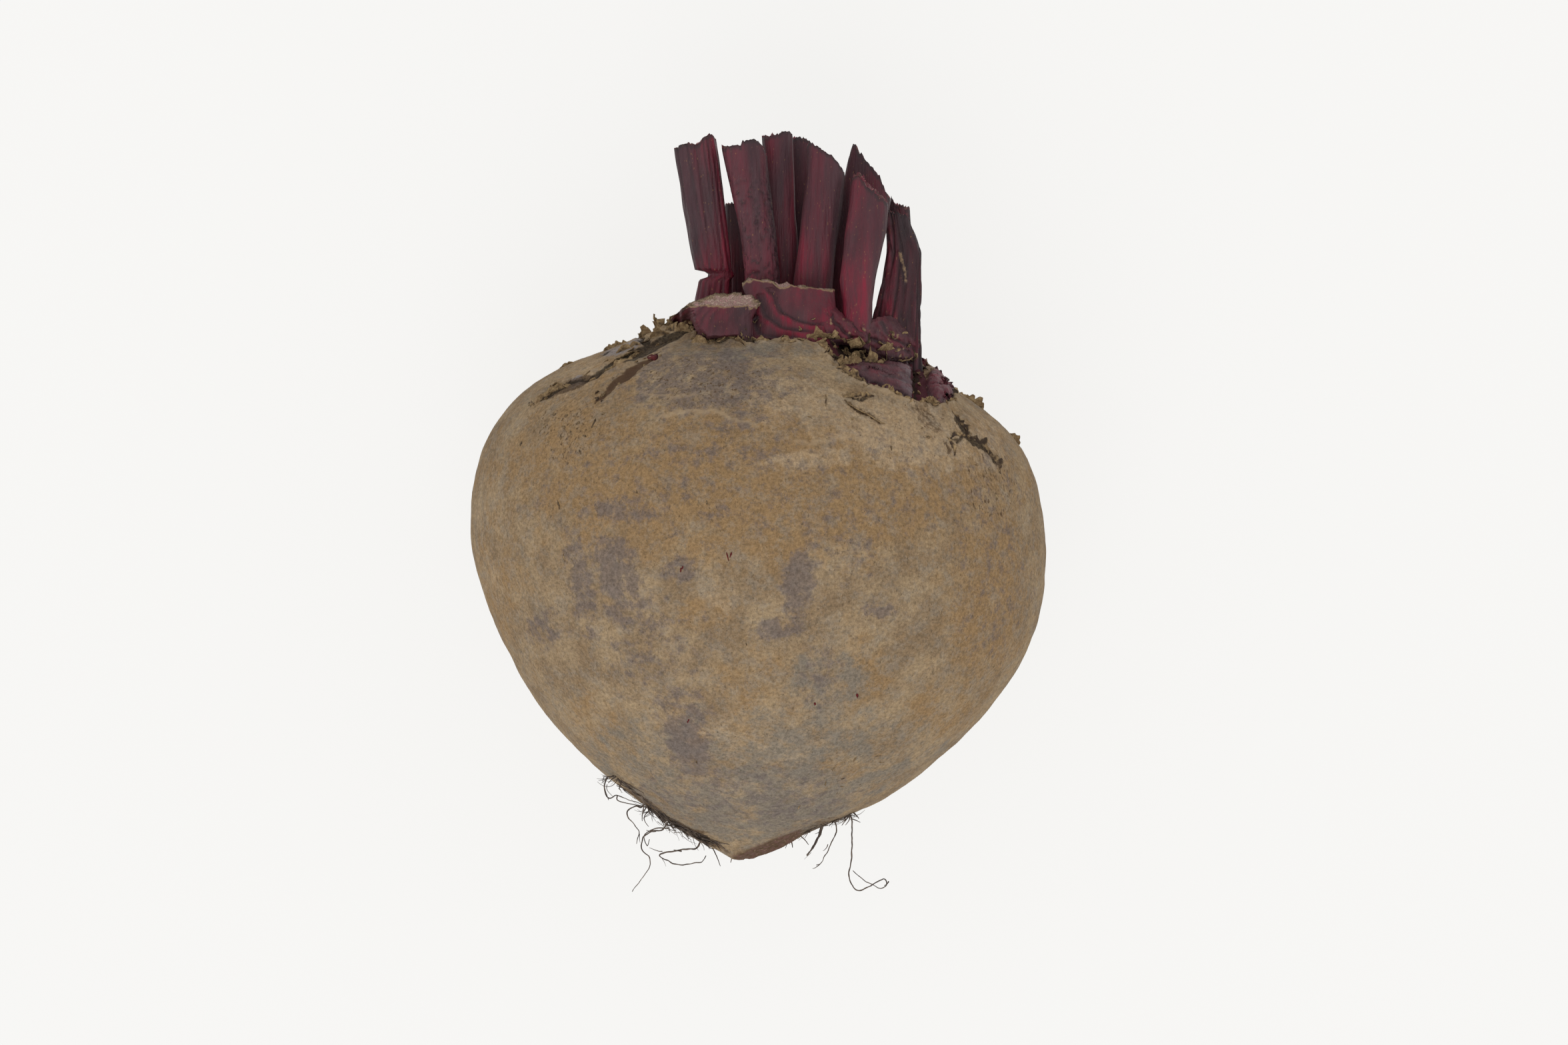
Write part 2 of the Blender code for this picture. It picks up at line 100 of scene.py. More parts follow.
class Grain:
    """Seeded gradient noise over points in millimetres."""

    def __init__(self, seed: int) -> None:
        """Shuffles the lattice.

        Args:
            seed: picks one of many grains.
        """
        rng = np.random.default_rng(seed)
        self.order = np.tile(rng.permutation(256), 3)
        self.slopes = unit(rng.normal(size=(256, 3)))

    def at(self, points: Array, size: float | Point) -> Array:
        """The grain's value, about -1 to 1.

        Args:
            points: the points, (n, 3).
            size: the width of one bump, or its width along each axis.

        Returns:
            One value for each point.
        """
        scaled = points / np.asarray(size, float)
        cell = np.floor(scaled).astype(int)
        inside = scaled - cell
        fade = inside**3 * (inside * (inside * 6 - 15) + 10)
        total = np.zeros(len(points))
        for corner in itertools.product((0, 1), repeat=3):
            x, y, z = ((cell + corner) & 255).T
            slope = self.slopes[self.order[self.order[self.order[x] + y] + z]]
            weight = np.prod(np.where(corner, fade, 1 - fade), axis=1)
            total += weight * ((inside - corner) * slope).sum(axis=1)
        return total * GRAIN_GAIN

    def layered(self, points: Array, size: float, octaves: int = 3) -> Array:
        """Several grains, each half as wide and half as strong as the last."""
        return sum(self.at(points + OCTAVE_SHIFT * n, size / 2**n) / 2**n for n in range(octaves))

    def sway(self, points: Array, size: float, apart: float) -> Array:
        """A small shift along each axis, from three grains that lie apart."""
        return np.stack([self.at(points + apart * n, size) for n in range(3)], axis=1)


def along_curve(points: Array, count: int) -> Array:
    """A smooth curve through points.

    Args:
        points: the points it goes through, (n, 3).
        count: how many points the curve gets.

    Returns:
        The curve's points, (count, 3).
    """
    padded = np.vstack([2 * points[0] - points[1], points, 2 * points[-1] - points[-2]])
    place = np.linspace(0, len(points) - 1, count)
    i = np.minimum(place.astype(int), len(points) - 2)
    t = (place - i)[:, None]
    p0, p1, p2, p3 = (padded[i + n] for n in range(4))
    square, cube = 2 * p0 - 5 * p1 + 4 * p2 - p3, 3 * p1 - p0 - 3 * p2 + p3
    return 0.5 * (2 * p1 + (p2 - p0) * t + square * t**2 + cube * t**3)


def inside_outline(plan: Array, outline: tuple[Plan, ...]) -> Array:
    """How far points are inside a smooth closed outline.

    Args:
        plan: the points, (n, 2).
        outline: the outline's corners.

    Returns:
        The distance to the outline, above 0 inside it.
    """
    corners = np.array([*outline, outline[0], outline[1]], float)
    line = along_curve(corners, 6 * len(corners))[:-6]
    flat = np.zeros((len(plan), 3))
    flat[:, :2] = plan
    away = off_path(flat, np.pad(line, ((0, 0), (0, 1))))[0]
    odd = np.zeros(len(plan), bool)
    for (x0, y0), (x1, y1) in zip(line, np.roll(line, -1, axis=0)):
        spans = (y0 > plan[:, 1]) != (y1 > plan[:, 1])
        odd ^= spans & (plan[:, 0] < x0 + (x1 - x0) * (plan[:, 1] - y0) / (y1 - y0 + 1e-12))
    return np.where(odd, away, -away)


def drape(plan: Array, pegs: Array) -> Array:
    """The height of a smooth sheet that is stretched over pegs.

    Args:
        plan: where it is wanted, (n, 2).
        pegs: the pegs' tops, (m, 3).

    Returns:
        One height for each point.
    """
    def pull(a: Array, b: Array) -> Array:
        """How strongly pegs at b pull on a sheet at a."""
        r = np.linalg.norm(a[:, None] - b[None], axis=2) + 1e-9
        return r * r * np.log(r)

    flat = np.column_stack([np.ones(len(pegs)), pegs[:, :2]])
    slack = pull(pegs[:, :2], pegs[:, :2]) + 0.5 * np.eye(len(pegs))
    matrix = np.block([[slack, flat], [flat.T, np.zeros((3, 3))]])
    weights = np.linalg.solve(matrix, np.concatenate([pegs[:, 2], np.zeros(3)]))
    return pull(plan, pegs[:, :2]) @ weights[:-3] + np.column_stack([np.ones(len(plan)), plan]) @ weights[-3:]


def crowded(low: float, high: float, count: int, middle: float, width: float, extra: float) -> Array:
    """Values from low to high that lie closer together round a middle.

    Args:
        low: the first value.
        high: the last value.
        count: how many there are.
        middle: where they are closest.
        width: how wide the crowd is.
        extra: how much closer they are there.

    Returns:
        The values, in rising order.
    """
    fine = np.linspace(low, high, 4000)
    total = np.cumsum(1 + extra * bell(fine - middle, width))
    return np.interp(np.linspace(total[0], total[-1], count), total, fine)


def off_path(points: Array, path: Array) -> tuple[Array, Array]:
    """How far points are from a path of straight pieces.

    Args:
        points: the points, (n, 3).
        path: the path's corners, (m, 3).

    Returns:
        The distance, and the share of the path at the nearest place.
    """
    best = np.full(len(points), 1e9)
    share = np.zeros(len(points))
    for n, (start, end) in enumerate(zip(path, path[1:])):
        step = end - start
        t = np.clip((points - start) @ step / max(step @ step, 1e-9), 0, 1)
        away = np.linalg.norm(points - start - t[:, None] * step, axis=1)
        nearer = away < best
        best = np.where(nearer, away, best)
        share = np.where(nearer, (n + t) / (len(path) - 1), share)
    return best, share


# ---- Meshes ----
def grid_faces(rows: int, columns: int, wrap: bool) -> Array:
    """The quads of a grid of points that are listed row by row.

    Args:
        rows: rows of points.
        columns: points in a row.
        wrap: whether the last column joins the first.

    Returns:
        Four point numbers for each quad.
    """
    across = np.arange(columns if wrap else columns - 1)
    row = np.arange(rows - 1)[:, None] * columns
    a = (row + across).ravel()
    b = (row + (across + 1) % columns).ravel()
    return np.stack([a, b, b + columns, a + columns], axis=1)


@dataclass
class Shape:
    """A mesh in the making: points in millimetres, faces, each face's finish and each point's marks."""

    points: list[Array] = field(default_factory=list)
    faces: list[Array] = field(default_factory=list)
    slots: list[Array] = field(default_factory=list)
    marks: dict[str, list[Array]] = field(default_factory=dict)
    size: int = 0

    def add(self, points: Array, faces: Array, slot: int = 0, **marks: Array | float) -> None:
        """Adds points and the faces between them.

        Args:
            points: the points, (n, 3).
            faces: three or four point numbers for each face, counted from the first of these points.
            slot: the number of the faces' finish.
            marks: named values from 0 to 1, for each point or for all of them.
        """
        for name in sorted({*marks, *self.marks}):
            column = self.marks.setdefault(name, [np.zeros(self.size)] if self.size else [])
            column.append(np.broadcast_to(marks.get(name, 0.0), len(points)))
        self.points.append(points)
        self.faces.append(np.asarray(faces) + self.size)
        self.slots.append(np.full(len(faces), slot))
        self.size += len(points)

    def add_tube(self, path: Array, radii: Array, sides: int) -> None:
        """Adds a closed tube.

        Args:
            path: the points along its middle, (n, 3).
            radii: its radius at each of them.
            sides: points in a ring.
        """
        ahead = unit(np.gradient(path, axis=0))
        side = np.zeros_like(path)
        side[0] = unit(np.cross(ahead[0], (0.31, 0.22, 0.93)))
        for n in range(1, len(path)):
            side[n] = unit(side[n - 1] - ahead[n] * (side[n - 1] @ ahead[n]))
        other = np.cross(ahead, side)
        turn = np.arange(sides) * 2 * math.pi / sides
        ring = side[:, None] * np.cos(turn)[:, None] + other[:, None] * np.sin(turn)[:, None]
        points = (path[:, None] + ring * radii[:, None, None]).reshape(-1, 3)
        tips = np.vstack([path[0] - ahead[0] * radii[0] * 0.6, path[-1] + ahead[-1] * radii[-1]])
        last = len(path) * sides
        n = np.arange(sides)
        caps = [np.stack([(n + 1) % sides, n, np.full(sides, last)], 1)]
        caps.append(np.stack([n + last - sides, (n + 1) % sides + last - sides, np.full(sides, last + 1)], 1))
        self.add(np.vstack([points, tips]), grid_faces(len(path), sides, True))
        self.faces.append(np.vstack(caps) + self.size - last - 2)
        self.slots.append(np.zeros(2 * sides))

    def add_sheet(self, top: Array, thickness: float, **marks: Array | float) -> None:
        """Adds a thin closed sheet.

        Args:
            top: its upper points, (rows, columns, 3).
            thickness: how thick it is.
            marks: named values, for each upper point or for all of them.
        """
        rows, columns = top.shape[:2]
        normal = unit(np.cross(np.gradient(top, axis=1), np.gradient(top, axis=0)))
        under = top - normal * thickness
        count = rows * columns
        upper = grid_faces(rows, columns, False)
        rim = [*range(columns), *(n * columns + columns - 1 for n in range(1, rows))]
        rim += [count - 1 - n for n in range(1, columns)] + [n * columns for n in range(rows - 2, 0, -1)]
        rim = np.array(rim)
        wall = np.stack([rim, rim + count, np.roll(rim, -1) + count, np.roll(rim, -1)], axis=1)
        both = {k: v if np.ndim(v) == 0 else np.tile(np.ravel(v), 2) for k, v in marks.items()}
        points = np.concatenate([top.reshape(-1, 3), under.reshape(-1, 3)])
        self.add(points, np.vstack([upper, upper[:, ::-1] + count, wall]), **both)

    def make(self, name: str, finishes: list[Material], slot: str, node: str | None = None) -> None:
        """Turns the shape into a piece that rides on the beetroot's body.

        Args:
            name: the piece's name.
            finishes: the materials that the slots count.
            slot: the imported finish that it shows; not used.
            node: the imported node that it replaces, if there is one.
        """
        mesh = bpy.data.meshes.new(name)
        faces = list(itertools.chain.from_iterable(block.tolist() for block in self.faces))
        mesh.from_pydata((np.concatenate(self.points) * MM).tolist(), [], faces)
        mesh.polygons.foreach_set("material_index", np.concatenate(self.slots).astype(np.int32))
        for finish in finishes:
            mesh.materials.append(finish)
        for mark, columns in self.marks.items():
            layer = mesh.attributes.new(mark, "FLOAT", "POINT")
            layer.data.foreach_set("value", np.concatenate(columns).astype(np.float32))
        mesh.shade_smooth()
        mesh.update()
        piece = bpy.data.objects.new(name, mesh)
        bpy.context.scene.collection.objects.link(piece)
        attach(piece, BODY)
        if node:
            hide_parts(node)
        LOG.info("%s: %d points, %d faces", name, len(mesh.vertices), len(mesh.polygons))


# ---- Finishes ----
Socket = bpy.types.NodeSocket
Feed = Socket | float | tuple


class Wiring:
    """Adds nodes to one node tree and joins them up."""

    def __init__(self, tree: Tree) -> None:
        """Keeps the tree that gets the nodes."""
        self.tree = tree

    def feed(self, socket: Socket, value: Feed) -> None:
        """Links a socket, or sets its value.

        Args:
            socket: the socket.
            value: another socket, a number or a colour.
        """
        if isinstance(value, Socket):
            self.tree.links.new(value, socket)
        elif socket.type == "RGBA" and len(value) == 3:
            socket.default_value = (*value, 1.0)
        else:
            socket.default_value = value

    def node(self, kind: str, feeds: dict[str | int, Feed] | None = None, **settings: object) -> Node:
        """Adds a node.

        Args:
            kind: the node's type, without its ShaderNode prefix.
            feeds: what goes into its sockets, by name or number.
            settings: its properties.

        Returns:
            The node.
        """
        made = self.tree.nodes.new("ShaderNode" + kind)
        for name, value in settings.items():
            setattr(made, name, value)
        for name, value in (feeds or {}).items():
            self.feed(made.inputs[name], value)
        return made

    def maths(self, operation: str, first: Feed, second: Feed = 0.0, clamp: bool = False) -> Socket:
        """The result of a sum on one or two values."""
        return self.node("Math", {0: first, 1: second}, operation=operation, use_clamp=clamp).outputs[0]

    def spread(self, value: Feed, low: float, high: float, to_low: float = 0.0,
               to_high: float = 1.0) -> Socket:
        """Maps low..high smoothly to to_low..to_high."""
        feeds = {"Value": value, "From Min": low, "From Max": high, "To Min": to_low, "To Max": to_high}
        return self.node("MapRange", feeds, interpolation_type="SMOOTHSTEP").outputs[0]

    def mix(self, share: Feed, first: Feed, second: Feed, blend: str = "MIX") -> Socket:
        """A colour between two colours."""
        made = self.node("Mix", {0: share, 6: first, 7: second}, data_type="RGBA", blend_type=blend)
        return made.outputs[2]

    def times(self, first: Feed, second: Feed, clamp: bool = False) -> Socket:
        """One value times another."""
        return self.maths("MULTIPLY", first, second, clamp)

    def shaded(self, colour: Feed, shade: Socket) -> Socket:
        """A colour times a value."""
        grey = self.node("CombineXYZ", {0: shade, 1: shade, 2: shade}).outputs[0]
        return self.mix(1.0, colour, grey, "MULTIPLY")

    def place(self, stretch: Point = (1.0, 1.0, 1.0)) -> Socket:
        """The point of the surface in millimetres, squeezed along the axes."""
        feeds = {0: self.node("TexCoord").outputs["Object"], 1: tuple(s / MM for s in stretch)}
        return self.node("VectorMath", feeds, operation="MULTIPLY").outputs[0]

    def noise(self, at: Socket, size: Feed, detail: float, rough: float = 0.55) -> Socket:
        """Noise over the surface.

        Args:
            at: the point of the surface.
            size: the width of one bump in millimetres.
            detail: how many finer layers it has.
            rough: how strong the finer layers are.

        Returns:
            The noise, from 0 to 1.
        """
        scale = self.maths("DIVIDE", 1.0, size) if isinstance(size, Socket) else 1.0 / size
        feeds = {"Vector": at, "Scale": scale, "Detail": detail, "Roughness": rough}
        return self.node("TexNoise", feeds).outputs[0]

    def mark(self, name: str) -> Socket:
        """A mark that was put on the mesh's points."""
        return self.node("Attribute", attribute_name=name).outputs["Fac"]

    def group(self, tree: Tree, feeds: dict[str, Feed]) -> Socket:
        """Places a node group and gives its first output."""
        return self.node("Group", feeds, node_tree=tree).outputs[0]


class Effects:
    """The shader node groups that several finishes share, each built once."""

    def __init__(self) -> None:
        """Builds the groups."""
        self.fibres = self.make_fibres()
        self.flecks = self.make_flecks()
        self.mottle = self.make_mottle()

    @staticmethod
    def start(name: str, inputs: dict[str, float]) -> tuple[Wiring, Node, Node]:
        """Makes an empty group with one output, its mask.

        Args:
            name: the group's name.
            inputs: its number inputs and their usual values.

        Returns:
            The wiring of the group, its input node and its output node.
        """
        tree = bpy.data.node_groups.new(name, "ShaderNodeTree")
        for label, value in inputs.items():
            socket = tree.interface.new_socket(label, in_out="INPUT", socket_type="NodeSocketFloat")
            socket.default_value = value
        tree.interface.new_socket("Mask", in_out="OUTPUT", socket_type="NodeSocketFloat")
        wiring = Wiring(tree)
        return wiring, tree.nodes.new("NodeGroupInput"), tree.nodes.new("NodeGroupOutput")

    def make_fibres(self) -> Tree:
        """Long thin streaks along the beetroot's axis, as a mask.

        Returns:
            The group.
        """
        wiring, given, result = self.start("fibre_streaks", {"Width": 0.5, "Contrast": 1.0})
        at = wiring.place((1.0, 0.09, 1.0))
        centred = wiring.maths("SUBTRACT", wiring.noise(at, given.outputs["Width"], 4.0, 0.6), 0.5)
        sharp = wiring.times(centred, wiring.times(given.outputs["Contrast"], 3.0))
        wiring.feed(result.inputs[0], wiring.maths("ADD", sharp, 0.5, clamp=True))
        return wiring.tree

    def make_flecks(self) -> Tree:
        """Scattered small flecks, longer along the axis than across it, as a mask.

        Returns:
            The group.
        """
        wiring, given, result = self.start("scattered_flecks", {"Size": 0.6, "Cover": 0.3})
        at = wiring.place((1.0, 0.45, 1.0))
        grains = wiring.noise(at, given.outputs["Size"], 2.0, 0.5)
        line = wiring.maths("SUBTRACT", 0.82, wiring.times(given.outputs["Cover"], 0.4))
        over = wiring.maths("SUBTRACT", grains, line)
        wiring.feed(result.inputs[0], wiring.times(over, 14.0, clamp=True))
        return wiring.tree

    def make_mottle(self) -> Tree:
        """Breaks a soft mask up into blotches with ragged edges.

        Returns:
            The group.
        """
        wiring, given, result = self.start("ragged_blotches", {"Mask": 0.5, "Size": 4.0, "Break": 1.0})
        cloud = wiring.maths("SUBTRACT", wiring.noise(wiring.place(), given.outputs["Size"], 7.0, 0.68), 0.5)
        broken = wiring.times(cloud, wiring.times(given.outputs["Break"], 2.4))
        total = wiring.maths("ADD", given.outputs["Mask"], broken)
        gate = wiring.spread(given.outputs["Mask"], 0.0, 0.12)
        wiring.feed(result.inputs[0], wiring.times(wiring.spread(total, 0.22, 0.78), gate))
        return wiring.tree


class Coat(Wiring):
    """The nodes of one material, and its colour so far."""

    def __init__(self, material: Material, effects: Effects) -> None:
        """Starts from the material's own shader.

        Args:
            material: the material.
            effects: the shared node groups.
        """
        super().__init__(material.node_tree)
        self.shader = self.tree.nodes["Principled BSDF"]
        self.effects = effects
        self.colour: Feed = (0.5, 0.5, 0.5)

    def lay(self, over: Feed, mask: Feed, most: float = 1.0) -> None:
        """Lays a colour over the colour so far where a mask shows, at most so strongly."""
        self.colour = self.mix(mask if most == 1.0 else self.times(mask, most), self.colour, over)

    def blotches(self, mark: str, size: float, broken: float) -> Socket:
        """A mark of the mesh, broken up into ragged blotches."""
        return self.group(self.effects.mottle, {"Mask": self.mark(mark), "Size": size, "Break": broken})

    def flecks(self, size: float, cover: Feed) -> Socket:
        """Scattered flecks."""
        return self.group(self.effects.flecks, {"Size": size, "Cover": cover})

    def fibres(self, width: float, contrast: float) -> Socket:
        """Long thin streaks."""
        return self.group(self.effects.fibres, {"Width": width, "Contrast": contrast})


@dataclass(frozen=True)
class Finish:
    """A finish's plain facts: its name, how rough it is, how much it mirrors and how deep its grain is."""

    name: str
    roughness: float = 0.7
    specular: float = 0.3
    depth: ClassVar[float] = 0.1

    def make(self, effects: Effects) -> Material:
        """Builds the material.

        Args:
            effects: the shared node groups.

        Returns:
            The material.
        """
        made = bpy.data.materials.new(self.name)
        made.use_nodes = True
        coat = Coat(made, effects)
        coat.shader.inputs["Roughness"].default_value = self.roughness
        coat.shader.inputs["Specular IOR Level"].default_value = self.specular
        height = self.paint(coat)
        coat.feed(coat.shader.inputs["Base Color"], coat.colour)
        feeds = {"Strength": 1.0, "Distance": self.depth * MM, "Height": height}
        coat.feed(coat.shader.inputs["Normal"], coat.node("Bump", feeds).outputs[0])
        return made

    def paint(self, coat: Coat) -> Socket:
        """Mixes the coat's colour and gives the height of its grain, from 0 to 1."""
        raise NotImplementedError


@dataclass(frozen=True)
class CorkSkin(Finish):
    """The root's matte corky skin."""

    name: str = "cork_skin_look"
    roughness: float = 0.88
    specular: float = 0.10
    depth: ClassVar[float] = 0.31
    light_tan: Colour = (0.390, 0.282, 0.168)
    deep_tan: Colour = (0.272, 0.188, 0.110)
    ochre: Colour = (0.330, 0.208, 0.100)
    dusk: Colour = (0.174, 0.138, 0.126)
    haze: Colour = (0.290, 0.262, 0.222)
    lilac: Colour = (0.290, 0.262, 0.265)
    pale: Colour = (0.480, 0.352, 0.222)
    dark: Colour = (0.030, 0.021, 0.014)
    brown: Colour = (0.110, 0.066, 0.036)
    wine: Colour = (0.075, 0.020, 0.027)
    cut_flesh: Colour = (0.165, 0.088, 0.070)
    smoke: Colour = (0.226, 0.200, 0.164)
    umber: Colour = (0.150, 0.100, 0.058)

    def paint(self, coat: Coat) -> Socket:
        """Mixes the skin.

        Args:
            coat: the material's nodes.

        Returns:
            The grain's height.
        """
        at = coat.place()
        clouds = coat.spread(coat.noise(at, 7.0, 8.0, 0.66), 0.36, 0.64)
        coat.colour = coat.mix(clouds, self.deep_tan, self.light_tan)
        for mark, tint, size, most in (("ochre", self.ochre, 4.5, 0.90), ("pale", self.pale, 2.5, 0.7)):
            coat.lay(tint, coat.blotches(mark, size, 0.9), most)
        haze = coat.spread(coat.noise(at, 2.6, 10.0, 0.78), 0.47, 0.60)
        coat.lay(self.haze, haze, 0.36)
        rust = coat.spread(coat.noise(at, 3.4, 9.0, 0.72), 0.54, 0.64)
        coat.lay(self.ochre, rust, 0.36)
        worn = coat.spread(coat.noise(coat.place((1.0, 0.6, 1.0)), 2.0, 10.0, 0.8), 0.56, 0.68)
        coat.lay(self.umber, worn, 0.42)
        for mark, tint, size, broken, most in (("smoke", self.smoke, 5.5, 1.2, 0.74),
                                               ("dusk", self.dusk, 2.2, 1.15, 0.72),
                                               ("lilac", self.lilac, 1.4, 1.0, 0.75)):
            coat.lay(tint, coat.blotches(mark, size, broken), most)
        grain = coat.noise(at, 0.62, 10.0, 0.82)
        coat.colour = coat.shaded(coat.colour, coat.spread(grain, 0.34, 0.66, 0.66, 1.32))
        flecks = coat.flecks(0.35, 0.40)
        coat.lay(self.dark, flecks, 0.34)
        coat.lay(self.brown, coat.flecks(0.5, coat.mark("grit")), 0.85)
        coat.lay(self.pale, coat.mark("line"))
        flesh = coat.mix(coat.spread(coat.noise(at, 0.9, 6.0, 0.7), 0.40, 0.58), self.cut_flesh, self.brown)
        flesh = coat.mix(coat.spread(coat.noise(at, 0.7, 3.0), 0.60, 0.68), flesh, self.deep_tan)
        coat.lay(flesh, coat.mark("cut"))
        coat.lay(self.wine, coat.blotches("wine", 1.2, 0.4))
        thin = coat.spread(grain, 0.62, 0.34, 0.72, 1.0)
        # The dark and brown marks hold painted shade in the seams' hollows as well as the cracks' own colour.
        for mark, tint in (("brown", self.brown), ("dark", self.dark)):
            coat.lay(tint, coat.times(coat.blotches(mark, 0.9, 0.7), thin))
        height = coat.maths("SUBTRACT", grain, coat.times(flecks, 0.3))
        return coat.maths("ADD", height, coat.noise(at, 1.8, 8.0, 0.72))


@dataclass(frozen=True)
class StalkSkin(Finish):
    """The ribbed skin of a leaf stalk or of its foot."""

    name: str = "stalk_skin_look"
    roughness: float = 0.5
    specular: float = 0.36
    depth: ClassVar[float] = 0.07
    deep: Colour = (0.038, 0.012, 0.018)
    dusky: Colour = (0.086, 0.032, 0.040)
    red: Colour = (0.225, 0.009, 0.030)
    # Dried tips, and also the painted shade in furrows, fold floors, pits and between the stalks.
    dry: Colour = (0.024, 0.015, 0.017)
    speck: Colour = (0.36, 0.19, 0.07)
    # Lilac-grey: a painted sheen on the left side of some stalks, and the grey right part of the leaf
    # remnants.
    bloom: Colour = (0.190, 0.150, 0.165)
    crust: Colour = (0.260, 0.170, 0.095)

    def paint(self, coat: Coat) -> Socket:
        """Mixes the skin.

        Args:
            coat: the material's nodes.

        Returns:
            The grain's height.
        """
        broad = coat.fibres(2.4, 0.8)
        coat.colour = coat.mix(broad, self.deep, self.dusky)
        streaks = coat.fibres(0.9, 0.9)
        blush = coat.times(coat.mark("red"), coat.spread(streaks, 0.0, 1.0, 0.45, 1.15), clamp=True)
        coat.lay(self.red, blush)
        fine = coat.fibres(0.4, 1.0)
        coat.lay(self.deep, fine, 0.34)
        # Painted shade: the dry colour darkens the furrows, fold floors, pits and the stalks' sides.
        coat.lay(self.dry, coat.mark("valley"), 0.7)
        for mark, tint, size, most in (("tip", self.dry, 1.6, 0.65), ("crust", self.crust, 0.9, 0.9)):
            coat.lay(tint, coat.blotches(mark, size, 0.8), most)
        coat.lay(self.bloom, coat.mark("bloom"))
        coat.lay(self.speck, coat.flecks(0.32, 0.36), 0.4)
        rough = coat.spread(fine, 0.0, 1.0, self.roughness + 0.12, self.roughness - 0.08)
        coat.feed(coat.shader.inputs["Roughness"], rough)
        return coat.maths("ADD", fine, streaks)


@dataclass(frozen=True)
class CutFlesh(Finish):
    """The torn, fibrous face where a stalk was cut, with a dry crust along its rim."""

    name: str = "stalk_flesh_look"
    roughness: float = 0.6
    depth: ClassVar[float] = 0.25
    pink: Colour = (0.300, 0.100, 0.105)
    red: Colour = (0.150, 0.012, 0.034)
    crust: Colour = (0.140, 0.064, 0.056)

    def paint(self, coat: Coat) -> Socket:
        """Mixes the flesh.

        Args:
            coat: the material's nodes.

        Returns:
            The grain's height.
        """
        at = coat.place()
        threads = coat.spread(coat.noise(at, 0.45, 3.0), 0.38, 0.62)
        coat.colour = coat.mix(threads, self.red, self.pink)
        crust = coat.shaded(self.crust, coat.spread(coat.noise(at, 0.7, 5.0, 0.7), 0.3, 0.7, 0.6, 1.2))
        coat.lay(crust, coat.blotches("crust", 1.3, 0.9))
        return threads


@dataclass(frozen=True)
class PaperySkin(Finish):
    """Dry scales and flakes of skin, from pale tan to dark."""

    name: str = "papery_skin_look"
    roughness: float = 0.8
    specular: float = 0.15
    depth: ClassVar[float] = 0.12
    tan: Colour = (0.360, 0.250, 0.130)
    brown: Colour = (0.190, 0.118, 0.060)
    dark: Colour = (0.052, 0.034, 0.023)
    red: Colour = (0.120, 0.014, 0.016)

    def paint(self, coat: Coat) -> Socket:
        """Mixes the papery skin.

        Args:
            coat: the material's nodes.

        Returns:
            The grain's height.
        """
        grain = coat.spread(coat.noise(coat.place(), 0.7, 6.0, 0.65), 0.32, 0.62)
        coat.colour = coat.mix(grain, self.brown, self.tan)
        # The tone mark holds each flake's own tone and painted shade towards its held edge.
        coat.lay(self.dark, coat.blotches("tone", 1.2, 0.6))
        coat.lay(self.red, coat.mark("red"))
        return grain


@dataclass(frozen=True)
class RootletSkin(Finish):
    """The wiry skin of the rootlets."""

    name: str = "rootlet_skin_look"
    roughness: float = 0.75
    specular: float = 0.2
    depth: ClassVar[float] = 0.05
    dark: Colour = (0.062, 0.046, 0.038)
    light: Colour = (0.170, 0.128, 0.098)

    def paint(self, coat: Coat) -> Socket:
        """Mixes the rootlets' skin.

        Args:
            coat: the material's nodes.

        Returns:
            The grain's height.
        """
        shade = coat.spread(coat.noise(coat.place(), 2.2, 4.0), 0.35, 0.7)
        coat.colour = coat.mix(shade, self.dark, self.light)
        coat.lay(self.dark, coat.flecks(0.8, 0.7), 0.5)
        return shade


@dataclass
class Finishes:
    """Every material of the beetroot."""

    effects: Effects = field(default_factory=Effects)

    def __post_init__(self) -> None:
        """Builds the materials."""
        self.cork = CorkSkin().make(self.effects)
        self.stalk = StalkSkin().make(self.effects)
        dry_stalk = StalkSkin("dry_stalk_look", 0.6, 0.3, (0.026, 0.014, 0.018), (0.062, 0.038, 0.042))
        self.dry_stalk = dry_stalk.make(self.effects)
        leaf_base = StalkSkin("leaf_base_look", 0.55, 0.3, (0.048, 0.014, 0.020), (0.098, 0.040, 0.046))
        self.leaf_base = leaf_base.make(self.effects)
        self.flesh = CutFlesh().make(self.effects)
        old_flesh = CutFlesh("old_flesh_look", 0.7, 0.25, (0.50, 0.36, 0.29), (0.45, 0.26, 0.24),
                             (0.30, 0.21, 0.13))
        self.old_flesh = old_flesh.make(self.effects)
        self.papery = PaperySkin().make(self.effects)
        self.rootlet = RootletSkin().make(self.effects)


# ---- The root ----
@dataclass(frozen=True)
class Patch:
    """A soft patch of the skin, given where it lies in plan: middle, half sizes, heading and strength."""

    x: float
    y: float
    long: float
    short: float
    heading: float = 0.0
    strength: float = 1.0


def patches(*rows: tuple[float, ...]) -> tuple[Patch, ...]:
    """Patches from rows of middle x and y, half length, half width, heading and strength."""
    return tuple(Patch(*row) for row in rows)


@dataclass(frozen=True)
class Seam:
    """A furrow, crack or ledge in the skin: the plan points of its path, its cross-section and its tints."""

    points: tuple[Plan, ...]
    width: float
    depth: float
    lip: float = 0.0
    tints: tuple[tuple[str, float], ...] = (("dark", 1.0),)


CROWN_FRONT = (
    (-17, 41.8), (-14.8, 41.5), (-12, 41.6), (-11.2, 40.2), (-10, 38.6), (-8.7, 38.4), (-6.2, 38.6),
    (-4.1, 38.9), (-2.1, 37.9), (0, 38.3), (3.3, 38.5), (5.6, 38.1), (8.2, 38.5), (10.3, 37.3), (11.8, 36),
    (13.6, 34.5), (14.1, 33), (16.4, 31.8), (18.1, 31), (21.6, 29.9), (25, 28.4), (28, 27.8), (30, 27.3),
    (33, 28), (33.6, 30),
)


